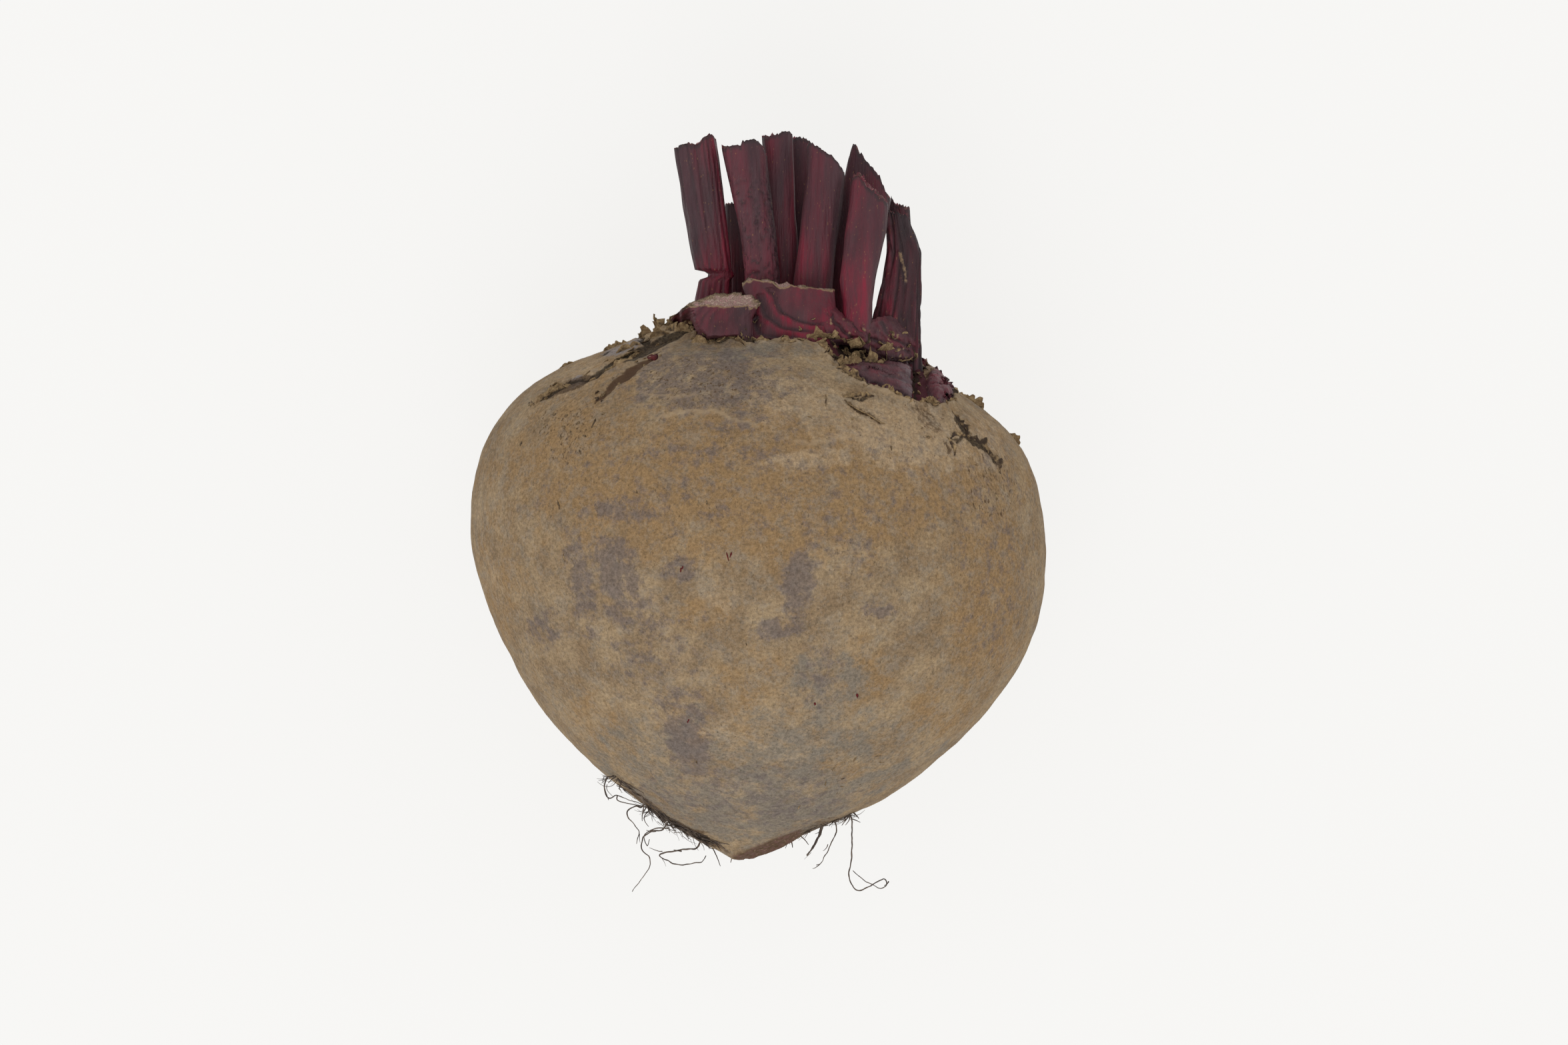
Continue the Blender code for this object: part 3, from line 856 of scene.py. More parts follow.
@dataclass
class Root:
    """The swollen root, from the taproot's cut to the crown."""

    turns: int = 420
    rings: int = 232
    node: str = "root"
    facet_blur: float = 3.6
    crown: Plan = (6.0, AXIS_HEIGHT)
    crown_back: tuple[Plan, ...] = (
        (0, 27.5), (30, 24), (90, 21), (150, 22), (180, 23), (225, 21), (270, 20), (315, 23), (360, 27.5),
    )
    dusk: tuple[Patch, ...] = patches(
        (-8.8, 31.4, 15, 6, 0, 0.62), (-3.3, 24.3, 6, 2.2, 8, 0.5), (-24.4, -0.9, 4.2, 6.5, 15, 0.82),
        (-30.5, -3, 2.2, 10, 14, 0.68), (6.6, -3.6, 2.8, 6.5, -4, 0.85), (2.8, -11.1, 4.5, 1.8, 8, 0.7),
        (10, -20, 5, 5.5, 0, 0.4), (-8, 18.6, 17, 2.2, 0, 0.45), (-13.5, -24.7, 5, 4, 0, 0.55),
        (-12.2, -30.8, 3.8, 6, 20, 0.85), (20.5, -7.7, 2.6, 2, 0, 0.6), (-13.5, -0.9, 3, 2.2, 0, 0.7),
        (-23, 9.3, 6, 2.4, 0, 0.75), (27.3, 13.4, 7, 3.5, 0, 0.25), (-36.6, -11.1, 4, 3.5, 0, 0.5),
        (-1.3, -40, 20, 6, 0, 0.42), (14, 5, 9, 9, 0, 0.33), (-18, -14, 9, 9, 0, 0.36),
        (0, 14, 40, 12, 0, 0.24), (-22.5, -7, 4.5, 4, 0, 0.55), (40, 2, 7, 20, 0, 0.3),
    )
    ochre: tuple[Patch, ...] = patches(
        (-9.4, 19.6, 24, 4, 0, 0.6), (-39.4, 17.5, 5, 5.5, 0, 0.6), (-32.5, 21.6, 6, 6, 0, 0.85),
        (39, -4, 8, 17, 0, 0.7), (38.5, 22, 3, 5, 40, 0.6), (-45, -4, 5, 13, 0, 0.5),
        (-9.4, -8.3, 8, 3, 10, 0.45), (-1.3, -19.2, 8, 6, 0, 0.5), (17.7, -19.2, 5, 8, 0, 0.55),
        (31.3, -24.7, 7, 6, -40, 0.5), (15, -32.8, 7, 4, 0, 0.4), (4.1, 10.7, 14, 4, 0, 0.35),
        (-28, -28, 8, 5, -50, 0.45), (0, 14, 46, 14, 0, 0.8), (-2, -28, 14, 5, 0, 0.4),
        (-30, 27, 12, 7, 40, 0.5), (30, 22, 12, 7, -40, 0.45),
    )
    pale: tuple[Patch, ...] = patches(
        (24.5, 22, 13, 6, -12, 0.8), (38.5, 20.6, 4, 6, 20, 0.55), (9, 17.8, 9, 1.8, 6, 0.65),
        (8, 27, 12, 5, -10, 0.55), (29, 16.5, 5, 2, 30, 0.45), (-31.2, 32, 6, 2.2, 35, 0.5),
        (-46.5, 6, 3, 14, 0, 0.35), (-6, -5.6, 4, 3, 0, 0.35), (0, -30, 16, 6, 0, 0.35),
    )
    grit: tuple[Patch, ...] = patches(
        (-8.8, 31, 15, 6, 0, 0.55), (-33, 22.5, 7, 7, 0, 0.55), (39.5, 13, 6, 8, 0, 0.55),
        (14, -36, 9, 5, 0, 0.4), (26, 22, 14, 7, 0, 0.4),
    )
    lilac: tuple[Patch, ...] = patches(
        (-23.6, 37.4, 3.8, 1.2, 20, 0.85), (-31.4, 31.2, 1.9, 1, 30, 0.75),
    )
    smoke: tuple[Patch, ...] = patches(
        (-2, -44, 22, 9, 0, 0.62), (14, -36, 12, 6, 20, 0.5), (-20, -34, 9, 7, -30, 0.5),
        (2, -34, 28, 10, 0, 0.52), (11, -20, 8, 6, 10, 0.5), (-2, 36, 14, 2.6, 0, 0.45),
    )
    seams: tuple[Seam, ...] = (
        Seam(((-11.3, 40.6), (-15.1, 39.1), (-18.1, 38.3), (-20.4, 37), (-23.5, 35.2), (-26.7, 33.5),
              (-28.8, 32.2), (-30.3, 31.6)), 0.6, 0.6, 0.3),
        Seam(((-29.8, 31.9), (-33, 31.4), (-35.4, 30.2), (-37.4, 28.6), (-38.4, 27.6)), 0.6, 0.4, 0.2,
             (("dark", 0.8),)),
        Seam(((-17.2, 36.2), (-18.5, 34.9), (-20.6, 33.9), (-22.9, 32), (-25, 30.7), (-26, 29.3),
              (-28.2, 27.6)), 0.75, 0.5, 0.25, (("brown", 1), ("wine", 0.6))),
        Seam(((-21, 39.8), (-20, 38.1), (-18.9, 39.8)), 0.6, 1.2, 0.1),
        Seam(((-28.2, 35.7), (-26.5, 36.7), (-25, 37.4)), 0.35, 0.3, 0.1, (("dark", 0.8),)),
        Seam(((-23.3, 39.3), (-21.8, 39.9), (-20.4, 40.1)), 0.35, 0.3, 0.1, (("dark", 0.8),)),
        Seam(((13.4, 38.6), (14.6, 37.4), (16.4, 36.6), (18.2, 35.8), (20.2, 35.2)), 1.4, 1, 0.2),
        Seam(((26.8, 37.4), (27.1, 34.4), (27, 31.6), (26.8, 28.2)), 0.5, 1, 0.2),
        # A painted shadow: a wide, shallow brown band below the leaf scar.
        Seam(((26.2, 28.2), (28.4, 25.2), (31, 22.7)), 1.5, 0.15, 0, (("brown", 0.5),)),
        Seam(((33, 26.2), (34.7, 23.1), (35.8, 21.6), (38, 20), (39.7, 18.5), (41.4, 15.8)), 0.6, 0.3, 0.2,
             (("dark", 0.85),)),
        Seam(((36, 21.6), (34.4, 21.2), (32.6, 21)), 0.35, 0.3, 0.1, (("dark", 0.8),)),
        Seam(((31.6, 21.2), (32.2, 20), (32.8, 18.7)), 0.35, 0.3, 0.1, (("brown", 0.8),)),
        Seam(((14, 28.7), (16.6, 28.3), (19.5, 28.7)), 0.35, 0.4, 0.1, (("dark", 0.85),)),
        Seam(((14.4, 28.1), (16.2, 26.8), (18, 26), (20, 24.7), (21.4, 23.9)), 0.4, 0.15, 0,
             (("brown", 0.75),)),
        Seam(((-2.9, 40.6), (-2.5, 39.4), (-2.2, 37.9)), 0.5, 1.2, 0.2),
        Seam(((-18.1, 24.6), (-12.4, 25.8), (-7, 25.8), (-4.9, 24.8), (1.2, 23)), 0.3, -0.2, 0,
             (("line", 0.6),)),
        Seam(((-20, 29), (-15, 28.2), (-9, 29.2)), 0.3, -0.12, 0, (("line", 0.5),)),
        Seam(((2, 21.8), (9, 20.8), (16, 21.8), (22, 20.2)), 0.35, -0.12, 0, (("line", 0.4),)),
        Seam(((14.5, 32.2), (18.4, 30.5), (21.7, 29.4), (25.2, 27.9), (28.4, 27.3)), 0.45, -0.3, 0,
             (("line", 0.7),)),
        Seam(((-25.6, -36.6), (-22.6, -38.6), (-19.6, -40.9), (-17.2, -43.2), (-14.8, -45), (-12, -46.3),
              (-7.7, -46.8)), 1, 0.1, 0, (("brown", 0.6),)),
        Seam(((6.4, -46.6), (9.6, -45.2), (13.2, -43.8)), 0.9, 0.1, 0, (("brown", 0.5),)),
        Seam(((-12.4, 40.2), (-15.4, 39), (-18.2, 37.6), (-20.6, 36), (-23, 34.6)), 1.3, 0.7, 0),
        Seam(((-28, 32.4), (-31, 31.4), (-33.6, 30.6), (-35.4, 29.4)), 1.3, 0.3, 0,
             (("brown", 0.9), ("dark", 0.35))),
        Seam(((-34, 30), (-36, 29.2), (-37.8, 28.4)), 0.9, 0.3, 0, (("brown", 0.6),)),
        Seam(((-23.4, -38.6), (-20.4, -41), (-17, -43.9), (-13.4, -46), (-9.6, -47.8), (-5.4, -50.2)), 1, 0.2,
             0, (("brown", 0.9),)),
        Seam(((-16.4, -44.4), (-13.4, -46.2), (-10.4, -47.8), (-8, -48.4)), 0.8, 0.2, 0, (("dark", 0.7),)),
        Seam(((6.4, -47.4), (10, -45.9), (14.4, -44.2)), 0.8, 0.2, 0, (("brown", 0.9),)),
    )
    marks: dict[str, Array] = field(default_factory=dict)

    def __post_init__(self) -> None:
        """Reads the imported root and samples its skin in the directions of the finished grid."""
        mesh = bpy.data.objects[self.node].data
        corners = np.array([v.co for v in mesh.vertices]) / MM
        self.tree = BVHTree.FromPolygons(corners.tolist(), [tuple(p.vertices) for p in mesh.polygons])
        self.middle = (corners.min(axis=0) + corners.max(axis=0)) / 2
        self.read_cut(mesh)
        turn = crowded(0, 360, self.turns + 1, middle=90, width=60, extra=1.6)[:-1]
        rise = crowded(-89.6, 89.6, self.rings, middle=50, width=22, extra=0.9)
        self.aims = self.directions(turn, rise)
        self.reach = self.smoothed(turn, rise)

    @staticmethod
    def directions(turn: Array, rise: Array) -> Array:
        """Directions from the root's middle: turn degrees round its axis from +X, rise towards the crown."""
        t, r = np.radians(turn)[None, :], np.radians(rise)[:, None]
        return np.stack([np.cos(r) * np.cos(t), np.sin(r) + 0 * t, np.cos(r) * np.sin(t)], axis=-1)

    def read_cut(self, mesh: bpy.types.Mesh) -> None:
        """Finds the plane of the taproot's cut: the largest flat face at the lower end.

        Args:
            mesh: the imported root.
        """
        low = [p for p in mesh.polygons if p.normal.y < -0.85]
        normals, areas = np.array([p.normal for p in low]), np.array([p.area for p in low])
        alike = normals @ normals.T > 0.99996
        most = np.argmax(alike @ areas)
        self.cut_normal = normals[most]
        centres = np.array([p.center for p in low])[alike[most]] / MM
        self.cut_at = np.average(centres, axis=0, weights=areas[alike[most]])

    def smoothed(self, turn: Array, rise: Array) -> Array:
        """How far the skin is from the middle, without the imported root's facets.

        Args:
            turn: degrees round the long axis.
            rise: degrees towards the crown.

        Returns:
            The distances, smooth everywhere but at the taproot's cut.
        """
        rows, columns = np.arange(-89.5, 90.0), np.arange(360.0)
        aims = self.directions(columns, rows)
        start = Vector(self.middle)
        reach = np.empty(aims.shape[:2])
        for row, column in np.ndindex(reach.shape):
            reach[row, column] = self.tree.ray_cast(start, Vector(aims[row, column]))[3]
        offsets = np.arange(-12, 13)
        weights = np.exp(-((offsets / self.facet_blur) ** 2) / 2)
        weights /= weights.sum()
        soft = sum(w * np.roll(reach, n, axis=1) for n, w in zip(offsets, weights))
        padded = np.pad(soft, ((12, 12), (0, 0)), mode="edge")
        soft = sum(w * padded[12 + n : 12 + n + len(rows)] for n, w in zip(offsets, weights))
        reach = reach + (soft - reach) * ramp(-80, -72, rows)[:, None]
        reach = np.pad(reach, ((0, 0), (0, 1)), mode="wrap")
        row, column = np.clip(rise + 89.5, 0, 178.999)[:, None], turn[None, :]
        i, j = row.astype(int), column.astype(int)
        u, v = row - i, column - j
        return (reach[i, j] * (1 - u) + reach[i + 1, j] * u) * (1 - v) + (
            reach[i, j + 1] * (1 - u) + reach[i + 1, j + 1] * u) * v

    def below(self, x: float, y: float) -> Array:
        """The point of the upper skin below a point in plan.

        Args:
            x: the point's x.
            y: the point's y.

        Returns:
            The skin's point.
        """
        hit = self.tree.ray_cast(Vector((x, y, 200.0)), Vector((0, 0, -1)))[0]
        if hit is None:
            hit = self.tree.find_nearest(Vector((x, y, self.middle[2])))[0]
        return np.array(hit)

    def foot(self, near: Array) -> tuple[Array, Array]:
        """The nearest point of the skin, and the direction straight out of the skin there."""
        at, out = self.tree.find_nearest(Vector(near))[:2]
        return np.array(at), np.array(out)

    def feet(self, points: Array | list[Array]) -> tuple[Array, Array]:
        """The nearest points of the skin to several points, and the directions straight out of it there."""
        at, out = zip(*(self.foot(p) for p in points))
        return np.array(at), np.array(out)

    def on_skin(self, points: tuple[Plan, ...], each: int = 8) -> Array:
        """A smooth path over the upper skin through plan points."""
        plan = along_curve(np.array(points, float), each * len(points))
        return np.array([self.below(*p) for p in plan])

    def hem(self, x: Array) -> tuple[Array, Array]:
        """Where the cork ends below the front leaf bases.

        Args:
            x: places across the root.

        Returns:
            The edge's y and z at each x.
        """
        across = np.linspace(-17, 16, 67)
        y = follow(CROWN_FRONT, across)
        z = np.array([self.below(*p)[2] for p in zip(across, y)])
        return np.interp(x, across, y), np.interp(x, across, z)

    def off_crown(self, points: Array) -> Array:
        """How far points of the skin are from the crown, where there is no cork; below 0 inside it.

        Args:
            points: the points.

        Returns:
            The distances, with a ragged edge.
        """
        away = np.full(len(points), 99.0)
        near = points[:, 1] > 20
        at = points[near]
        outline = (*CROWN_FRONT, (37.0, 36.0), (40.0, 62.0), (6.0, 70.0), (-32.0, 62.0), (-22.0, 45.0))
        front = -inside_outline(at[:, :2], outline)
        across, up = at[:, 0] - self.crown[0], at[:, 2] - self.crown[1]
        turn = np.degrees(np.arctan2(up, across)) % 360
        back = np.hypot(across, up) - follow(self.crown_back, turn)
        share = ramp(-3, 5, at[:, 2] - self.middle[2])
        ragged = 0.45 * Grain(14).at(at, 2.4) + 0.25 * Grain(15).at(at, 0.9)
        away[near] = back + (front - back) * share + ragged
        return away

    def patch_mask(self, points: Array, spots: tuple[Patch, ...], edge: float = 0.5) -> Array:
        """Marks soft ovals on the upper skin.

        Args:
            points: the skin's points.
            spots: the ovals.
            edge: the share of an oval that is its soft edge.

        Returns:
            A mask from 0 to 1.
        """
        mask = np.zeros(len(points))
        on_top = ramp(0, 6, points[:, 2] - self.middle[2])
        for spot in spots:
            c, s = math.cos(math.radians(spot.heading)), math.sin(math.radians(spot.heading))
            dx, dy = points[:, 0] - spot.x, points[:, 1] - spot.y
            away = np.hypot((dx * c + dy * s) / spot.long, (dy * c - dx * s) / spot.short)
            mask = np.maximum(mask, spot.strength * ramp(1 + edge, 1 - edge, away) * on_top)
        return mask

    def relief(self, points: Array) -> Array:
        """How far the real skin stands off the smooth one, and the marks that go with it.

        Args:
            points: the smooth skin's points.

        Returns:
            Heights along the outward direction.
        """
        grain, fine = Grain(3), Grain(8)
        height = 0.36 * grain.layered(points, 24.0, 3) + 0.11 * fine.layered(points, 5.0, 3)
        height += 0.035 * fine.at(points * (1.0, 0.4, 1.0), 0.8)
        for tint in ("dark", "brown", "wine", "line"):
            self.marks[tint] = np.zeros(len(points))
        self.carve_seams(points, height, fine)
        self.tear_edge(points, height, grain, fine)
        return height

    def deepen(self, tint: str, strength: Array, where: Array | slice = slice(None)) -> None:
        """Strengthens a mark wherever it is weaker."""
        self.marks[tint][where] = np.maximum(self.marks[tint][where], strength)

    def carve_seams(self, points: Array, height: Array, fine: Grain) -> None:
        """Carves the furrows, cracks and ledges.

        Args:
            points: the smooth skin's points.
            height: the heights, which it changes.
            fine: makes the seams waver.
        """
        on_top = ramp(-1, 3, points[:, 2] - self.middle[2])
        seen = ramp(-3.5, -0.5, points[:, 2] - self.middle[2])
        flat = np.array((1.0, 1.0, 0.35))
        wobble = points + 0.45 * fine.sway(points, 2.2, 50)
        wobble += 0.18 * fine.sway(points, 0.8, 70)
        for seam in self.seams:
            path = self.on_skin(seam.points)
            box = np.all((points > path.min(axis=0) - 6) & (points < path.max(axis=0) + 6), axis=1)
            away, share = off_path(wobble[box] * flat, path * flat)
            taper = np.sin(np.pi * np.clip(share, 0.04, 0.96)) ** 0.5
            core = bell(away, seam.width * (0.45 + 0.55 * taper)) * taper
            height[box] -= seam.depth * core * on_top[box]
            height[box] += seam.lip * bell(away - 2 * seam.width, seam.width) * taper * on_top[box]
            # Painted shade: the dark and brown tints darken the furrows' floors, together with the cracks'
            # own dark colour.
            for tint, strength in seam.tints:
                self.deepen(tint, strength * ramp(0.10, 0.45, core) * seen[box], box)

    def tear_edge(self, points: Array, height: Array, grain: Grain, fine: Grain) -> None:
        """Tears the edge where the cork ends, and folds the thin skin inside it.

        Args:
            points: the smooth skin's points.
            height: the heights, which it changes.
            grain: bends the folds.
            fine: tears the edge.
        """
        off = self.off_crown(points)
        torn = 0.6 + 0.9 * fine.at(points, 1.5)
        inside = ramp(0.15, -0.5, off)
        folds = np.abs(np.sin(math.pi * (off + 1.2 * grain.at(points, 6.0)) / 2.6))
        height += 0.6 * torn * bell(off - 0.55, 0.55) - 0.8 * inside + 0.45 * folds * inside
        self.deepen("dark", 0.75 * (bell(off + 0.1, 0.28) * ramp(-0.3, 0.5, torn)))
        self.deepen("line", 0.65 * (bell(off - 0.45, 0.35) * ramp(0.2, 0.9, torn)))
        self.deepen("wine", ramp(0.2, -0.3, off))

    def colour_marks(self, points: Array, grain: Grain) -> None:
        """Marks where the skin's colours lie.

        Args:
            points: the finished skin's points.
            grain: breaks the marks up.
        """
        hidden = ramp(6, -6, points[:, 2] - self.middle[2])
        cloud = ramp(0.0, 0.7, grain.layered(points, 13.0, 3)) * hidden * 0.8
        other = ramp(0.1, 0.8, grain.layered(points + 90, 15.0, 3)) * hidden * 0.8
        self.marks["dusk"] = np.maximum(self.patch_mask(points, self.dusk), cloud)
        self.marks["ochre"] = np.maximum(self.patch_mask(points, self.ochre), other)
        self.marks["pale"] = self.patch_mask(points, self.pale)
        self.marks["lilac"] = self.patch_mask(points, self.lilac, 0.3)
        self.marks["smoke"] = self.patch_mask(points, self.smoke)
        self.marks["grit"] = np.maximum(self.patch_mask(points, self.grit), 0.25 * hidden)
        below_cut = (points - self.cut_at) @ self.cut_normal
        rough = 0.7 * grain.at(points, 1.6)
        near = ramp(6.7, 5.9, np.abs(points[:, 0] - 0.9) + 0.3 * rough)
        near = near * ramp(53.0, 51.6, points[:, 2] + rough)
        self.marks["cut"] = ramp(-0.5, -0.15, below_cut) * near

    def build(self, finishes: Finishes) -> None:
        """Makes the root.

        Args:
            finishes: the materials.
        """
        flat = self.aims.reshape(-1, 3)
        reach = self.reach.reshape(-1)
        reach = reach + self.relief(self.middle + flat * reach[:, None])
        facing = flat @ self.cut_normal
        to_cut = ((self.cut_at - self.middle) @ self.cut_normal) / np.maximum(facing, 1e-6)
        grain = Grain(21)
        torn = 0.34 * grain.layered(self.middle + flat * reach[:, None], 1.6, 4)
        reach = np.where(facing > 0.2, np.minimum(reach, to_cut + torn), reach)
        to_floor = self.middle[2] / np.maximum(-flat[:, 2], 1e-6)
        reach = np.where(flat[:, 2] < -0.2, np.minimum(reach, to_floor), reach)
        points = self.middle + flat * reach[:, None]
        self.colour_marks(points, grain)
        shape = Shape()
        shape.add(points, grid_faces(self.rings, self.turns, True)[:, ::-1], **self.marks)
        self.close_poles(shape)
        shape.make("root_body", [finishes.cork], "cork_skin", self.node)
        self.stand_on([shape])

    def stand_on(self, shapes: list[Shape]) -> None:
        """Makes shapes the ground that later pieces stand on.

        Args:
            shapes: the shapes.
        """
        self.ground = shapes
        points, faces, size = [], [], 0
        for shape in shapes:
            points.append(np.concatenate(shape.points))
            faces += [[v + size for v in f] for block in shape.faces for f in block.tolist()]
            size += shape.size
        self.tree = BVHTree.FromPolygons(np.concatenate(points).tolist(), faces)

    def close_poles(self, shape: Shape) -> None:
        """Closes the small holes at both ends of the grid.

        Args:
            shape: the root's shape.
        """
        count = self.rings * self.turns
        n = np.arange(self.turns)
        m = (n + 1) % self.turns
        points = shape.points[0]
        ends = np.array([points[: self.turns].mean(axis=0), points[-self.turns :].mean(axis=0)])
        values = {k: np.array([v[0][0], v[0][-1]]) for k, v in shape.marks.items()}
        shape.add(ends, np.empty((0, 3), int), **values)
        low = np.stack([n, m, np.full(self.turns, count)], axis=1)
        last = count - self.turns
        high = np.stack([m + last, n + last, np.full(self.turns, count + 1)], axis=1)
        shape.faces.append(np.vstack([low, high]))
        shape.slots.append(np.zeros(2 * self.turns))


# ---- Cut stalks and leaf bases ----
class Kind(Enum):
    """What a cut piece of the crown is; the value is its packed finish."""

    STALK = "stalk_skin"
    DRY_STALK = "dry_stalk"
    LEAF_BASE = "leaf_base_skin"


@dataclass
class CutStalk:
    """A cut leaf stalk or leaf base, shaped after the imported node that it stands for.

    The rim lists how far the cut's edge drops below the node's top, from -1 at its left to 1 at its right.
    """

    node: str
    rim: tuple[Plan, ...] = ((-1, 0.5), (0, 0), (1, 0.6))
    kind: Kind = Kind.STALK
    rag: float = 0.30
    lean: float = 0.0
    rib_depth: float = 0.10
    rib_size: float = 2.6
    wrinkles: float = 0.0
    folds: tuple[tuple[Plan, ...], ...] = ()
    redness: float = 0.22
    red_side: float = 0.0
    base_red: float = 0.42
    # How strongly a lilac-grey sheen is painted on the left side.
    bloom: float = 0.0
    hemmed: bool = False
    slope: tuple[Plan, ...] = ()
    peels: tuple[tuple[Plan, ...], ...] = ()
    foot: bool = False
    seed: int = 1
    columns: int = 96
    rows: int = 84
    cut_rings: int = 8
    full_from: float = 45.0
    buried: float = 38.0

    def read(self) -> None:
        """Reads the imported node's edges and box."""
        mesh = bpy.data.objects[self.node].data
        corners = np.array([v.co for v in mesh.vertices]) / MM
        edges = np.array([tuple(e.vertices) for e in mesh.edges])
        self.starts, self.ends = corners[edges[:, 0]], corners[edges[:, 1]]
        self.low, self.high = corners.min(axis=0), corners.max(axis=0)
        middle = (self.low[1] + self.high[1]) / 2
        tops = [p for p in mesh.polygons if p.normal.y > 0.55 and p.center.y / MM > middle]
        self.full_to = min(min(corners[v][1] for v in p.vertices) for p in tops) - 0.2
        self.front = 1.0 if (self.low[2] + self.high[2]) / 2 > AXIS_HEIGHT else -1.0
        self.grain = Grain(100 + self.seed)

    def section(self, y: float) -> Array:
        """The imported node's extent at one height.

        Args:
            y: the height.

        Returns:
            The lowest and highest x, and the lowest and highest z.
        """
        crossing = (self.starts[:, 1] < y) != (self.ends[:, 1] < y)
        start, end = self.starts[crossing], self.ends[crossing]
        t = ((y - start[:, 1]) / (end[:, 1] - start[:, 1]))[:, None]
        points = start + (end - start) * t
        return np.array((points[:, 0].min(), points[:, 0].max(), points[:, 2].min(), points[:, 2].max()))

    def stations(self) -> tuple[Array, Array]:
        """The stalk's extent at each height, from inside the crown to the cut.

        Returns:
            The heights, and the extent at each of them.
        """
        top = max(self.full_to, self.full_from + 0.1)
        inner = np.linspace(self.full_from, top, max(2, int((top - self.full_from) / 0.4)))
        read = np.array([self.section(y) for y in inner])
        back = min(12, len(inner) - 1)
        rise = self.shift(read[-1] - read[-1 - back]) / (inner[-1] - inner[-1 - back])
        heights = [*inner, self.high[1] + 1.0]
        extents = [*read, read[-1] + np.clip(rise, -0.5, 0.5) * (self.high[1] + 1.0 - inner[-1])]
        if not self.foot:
            fall = self.shift(read[back] - read[0]) / (inner[back] - inner[0])
            heights.insert(0, self.buried)
            extents.insert(0, read[0] - np.clip(fall, -0.5, 0.5) * (inner[0] - self.buried))
            return np.array(heights), np.array(extents)
        outer = self.high[2] if self.front > 0 else self.low[2]
        depth = (read[0][3] - read[0][2]) * 1.35
        spare = 0.4 if self.kind is Kind.LEAF_BASE else 0.0
        base = np.array((self.low[0] - spare, self.high[0] + spare, min(outer, outer - depth * self.front),
                         max(outer, outer - depth * self.front)))
        for share in (0.25, 0.5, 0.75, 1.0):
            heights.insert(0, inner[0] + (self.low[1] - inner[0]) * share)
            extents.insert(0, read[0] + (base - read[0]) * share**0.85)
        heights.insert(0, self.low[1] - 1.5)
        extents.insert(0, base)
        return np.array(heights), np.array(extents)

    @staticmethod
    def shift(slope: Array) -> Array:
        """Keeps only the sideways part of a slope, so that the width stays as it is."""
        x, z = (slope[0] + slope[1]) / 2, (slope[2] + slope[3]) / 2
        return np.array((x, x, z, z))

    def rim_heights(self, turn: Array, depth: Array) -> Array:
        """The height of the cut's edge round the stalk.

        Args:
            turn: the direction round the stalk, 0 at +X.
            depth: how far each point is from the middle towards the viewer, in millimetres.

        Returns:
            The edge's height at each direction.
        """
        at = follow(self.rim, np.cos(turn) * self.boxy(turn))
        spots = np.stack([np.cos(turn), np.sin(turn), np.zeros_like(turn)], axis=1) * 4.0
        ragged = self.grain.at(spots, 0.9) + 0.6 * self.grain.at(spots + 9, 0.4)
        teeth = np.maximum(0.0, self.grain.at(spots + 19, 0.33) - 0.3) * 2.8
        half = np.abs(depth).max()
        return self.high[1] - at - self.lean * (half + depth * self.front) + self.rag * (ragged + teeth)

    @staticmethod
    def boxy(turn: Array) -> Array:
        """How far a rounded box reaches in each direction, against a circle."""
        return (np.abs(np.cos(turn)) ** SQUARENESS + np.abs(np.sin(turn)) ** SQUARENESS) ** (-1 / SQUARENESS)

    def surface(self, turn: Array, heights: Array) -> tuple[Array, dict[str, Array]]:
        """The stalk's skin.

        Args:
            turn: directions round the stalk, (columns,).
            heights: the height at each point, (rows, columns).

        Returns:
            The points (rows, columns, 3) and their marks.
        """
        at, extents = self.stations()
        x0, x1, z0, z1 = (np.interp(heights, at, extents[:, n]) for n in range(4))
        if self.slope:
            x0 = np.maximum(x0, follow(self.slope, heights))
        c, s = np.cos(turn), np.sin(turn)
        box = self.boxy(turn)
        across = (x1 - x0) / 2 * c * box
        depth = (z1 - z0) / 2 * s * box
        x, z = (x0 + x1) / 2 + across, (z0 + z1) / 2 + depth
        points = np.stack([x, heights, z], axis=-1)
        spots = points.reshape(-1, 3)
        flat = np.stack([across, heights * 0.04, depth], axis=-1).reshape(-1, 3)
        furrow = bell(self.grain.at(flat, self.rib_size), 0.22)
        thread = bell(self.grain.at(flat + 40, self.rib_size * 0.36), 0.3)
        swell = 0.22 * self.grain.at(spots + 20, (4.0, 8.0, 4.0))
        sink = self.rib_depth * (furrow + 0.4 * thread) - swell
        pitted = self.pits(spots) if self.wrinkles else np.zeros(len(spots))
        sink, lit, shade = self.creases(spots, sink + self.wrinkles * pitted)
        torn = self.peeled(spots)
        sink = sink - 0.3 * torn
        outward = unit(np.stack([across / np.maximum((x1 - x0) ** 2, 1e-6), 0 * heights,
                                 depth / np.maximum((z1 - z0) ** 2, 1e-6)], axis=-1))
        points = points - outward * sink.reshape(heights.shape)[..., None]
        side = np.broadcast_to(c * box, heights.shape).reshape(-1)
        marks = self.colour_marks(spots, side, furrow, lit, shade + 0.6 * pitted)
        return points, marks | {"crust": 0.55 * torn}

    def pits(self, spots: Array) -> Array:
        """Where the dried skin is pitted.

        Args:
            spots: the skin's points.

        Returns:
            A mask from 0 to 1.
        """
        rough = self.grain.at(spots, (1.2, 0.34, 1.2)) + 0.6 * self.grain.at(spots + 30, (0.7, 0.26, 0.7))
        low = ramp(self.full_from + 25, self.full_from + 18, spots[:, 1])
        return ramp(0.1, 0.8, rough) * low

    def faces_up(self, spots: Array) -> Array:
        """Whether points are on the piece's upper half."""
        return spots[:, 2] > (self.low[2] + self.high[2]) / 2

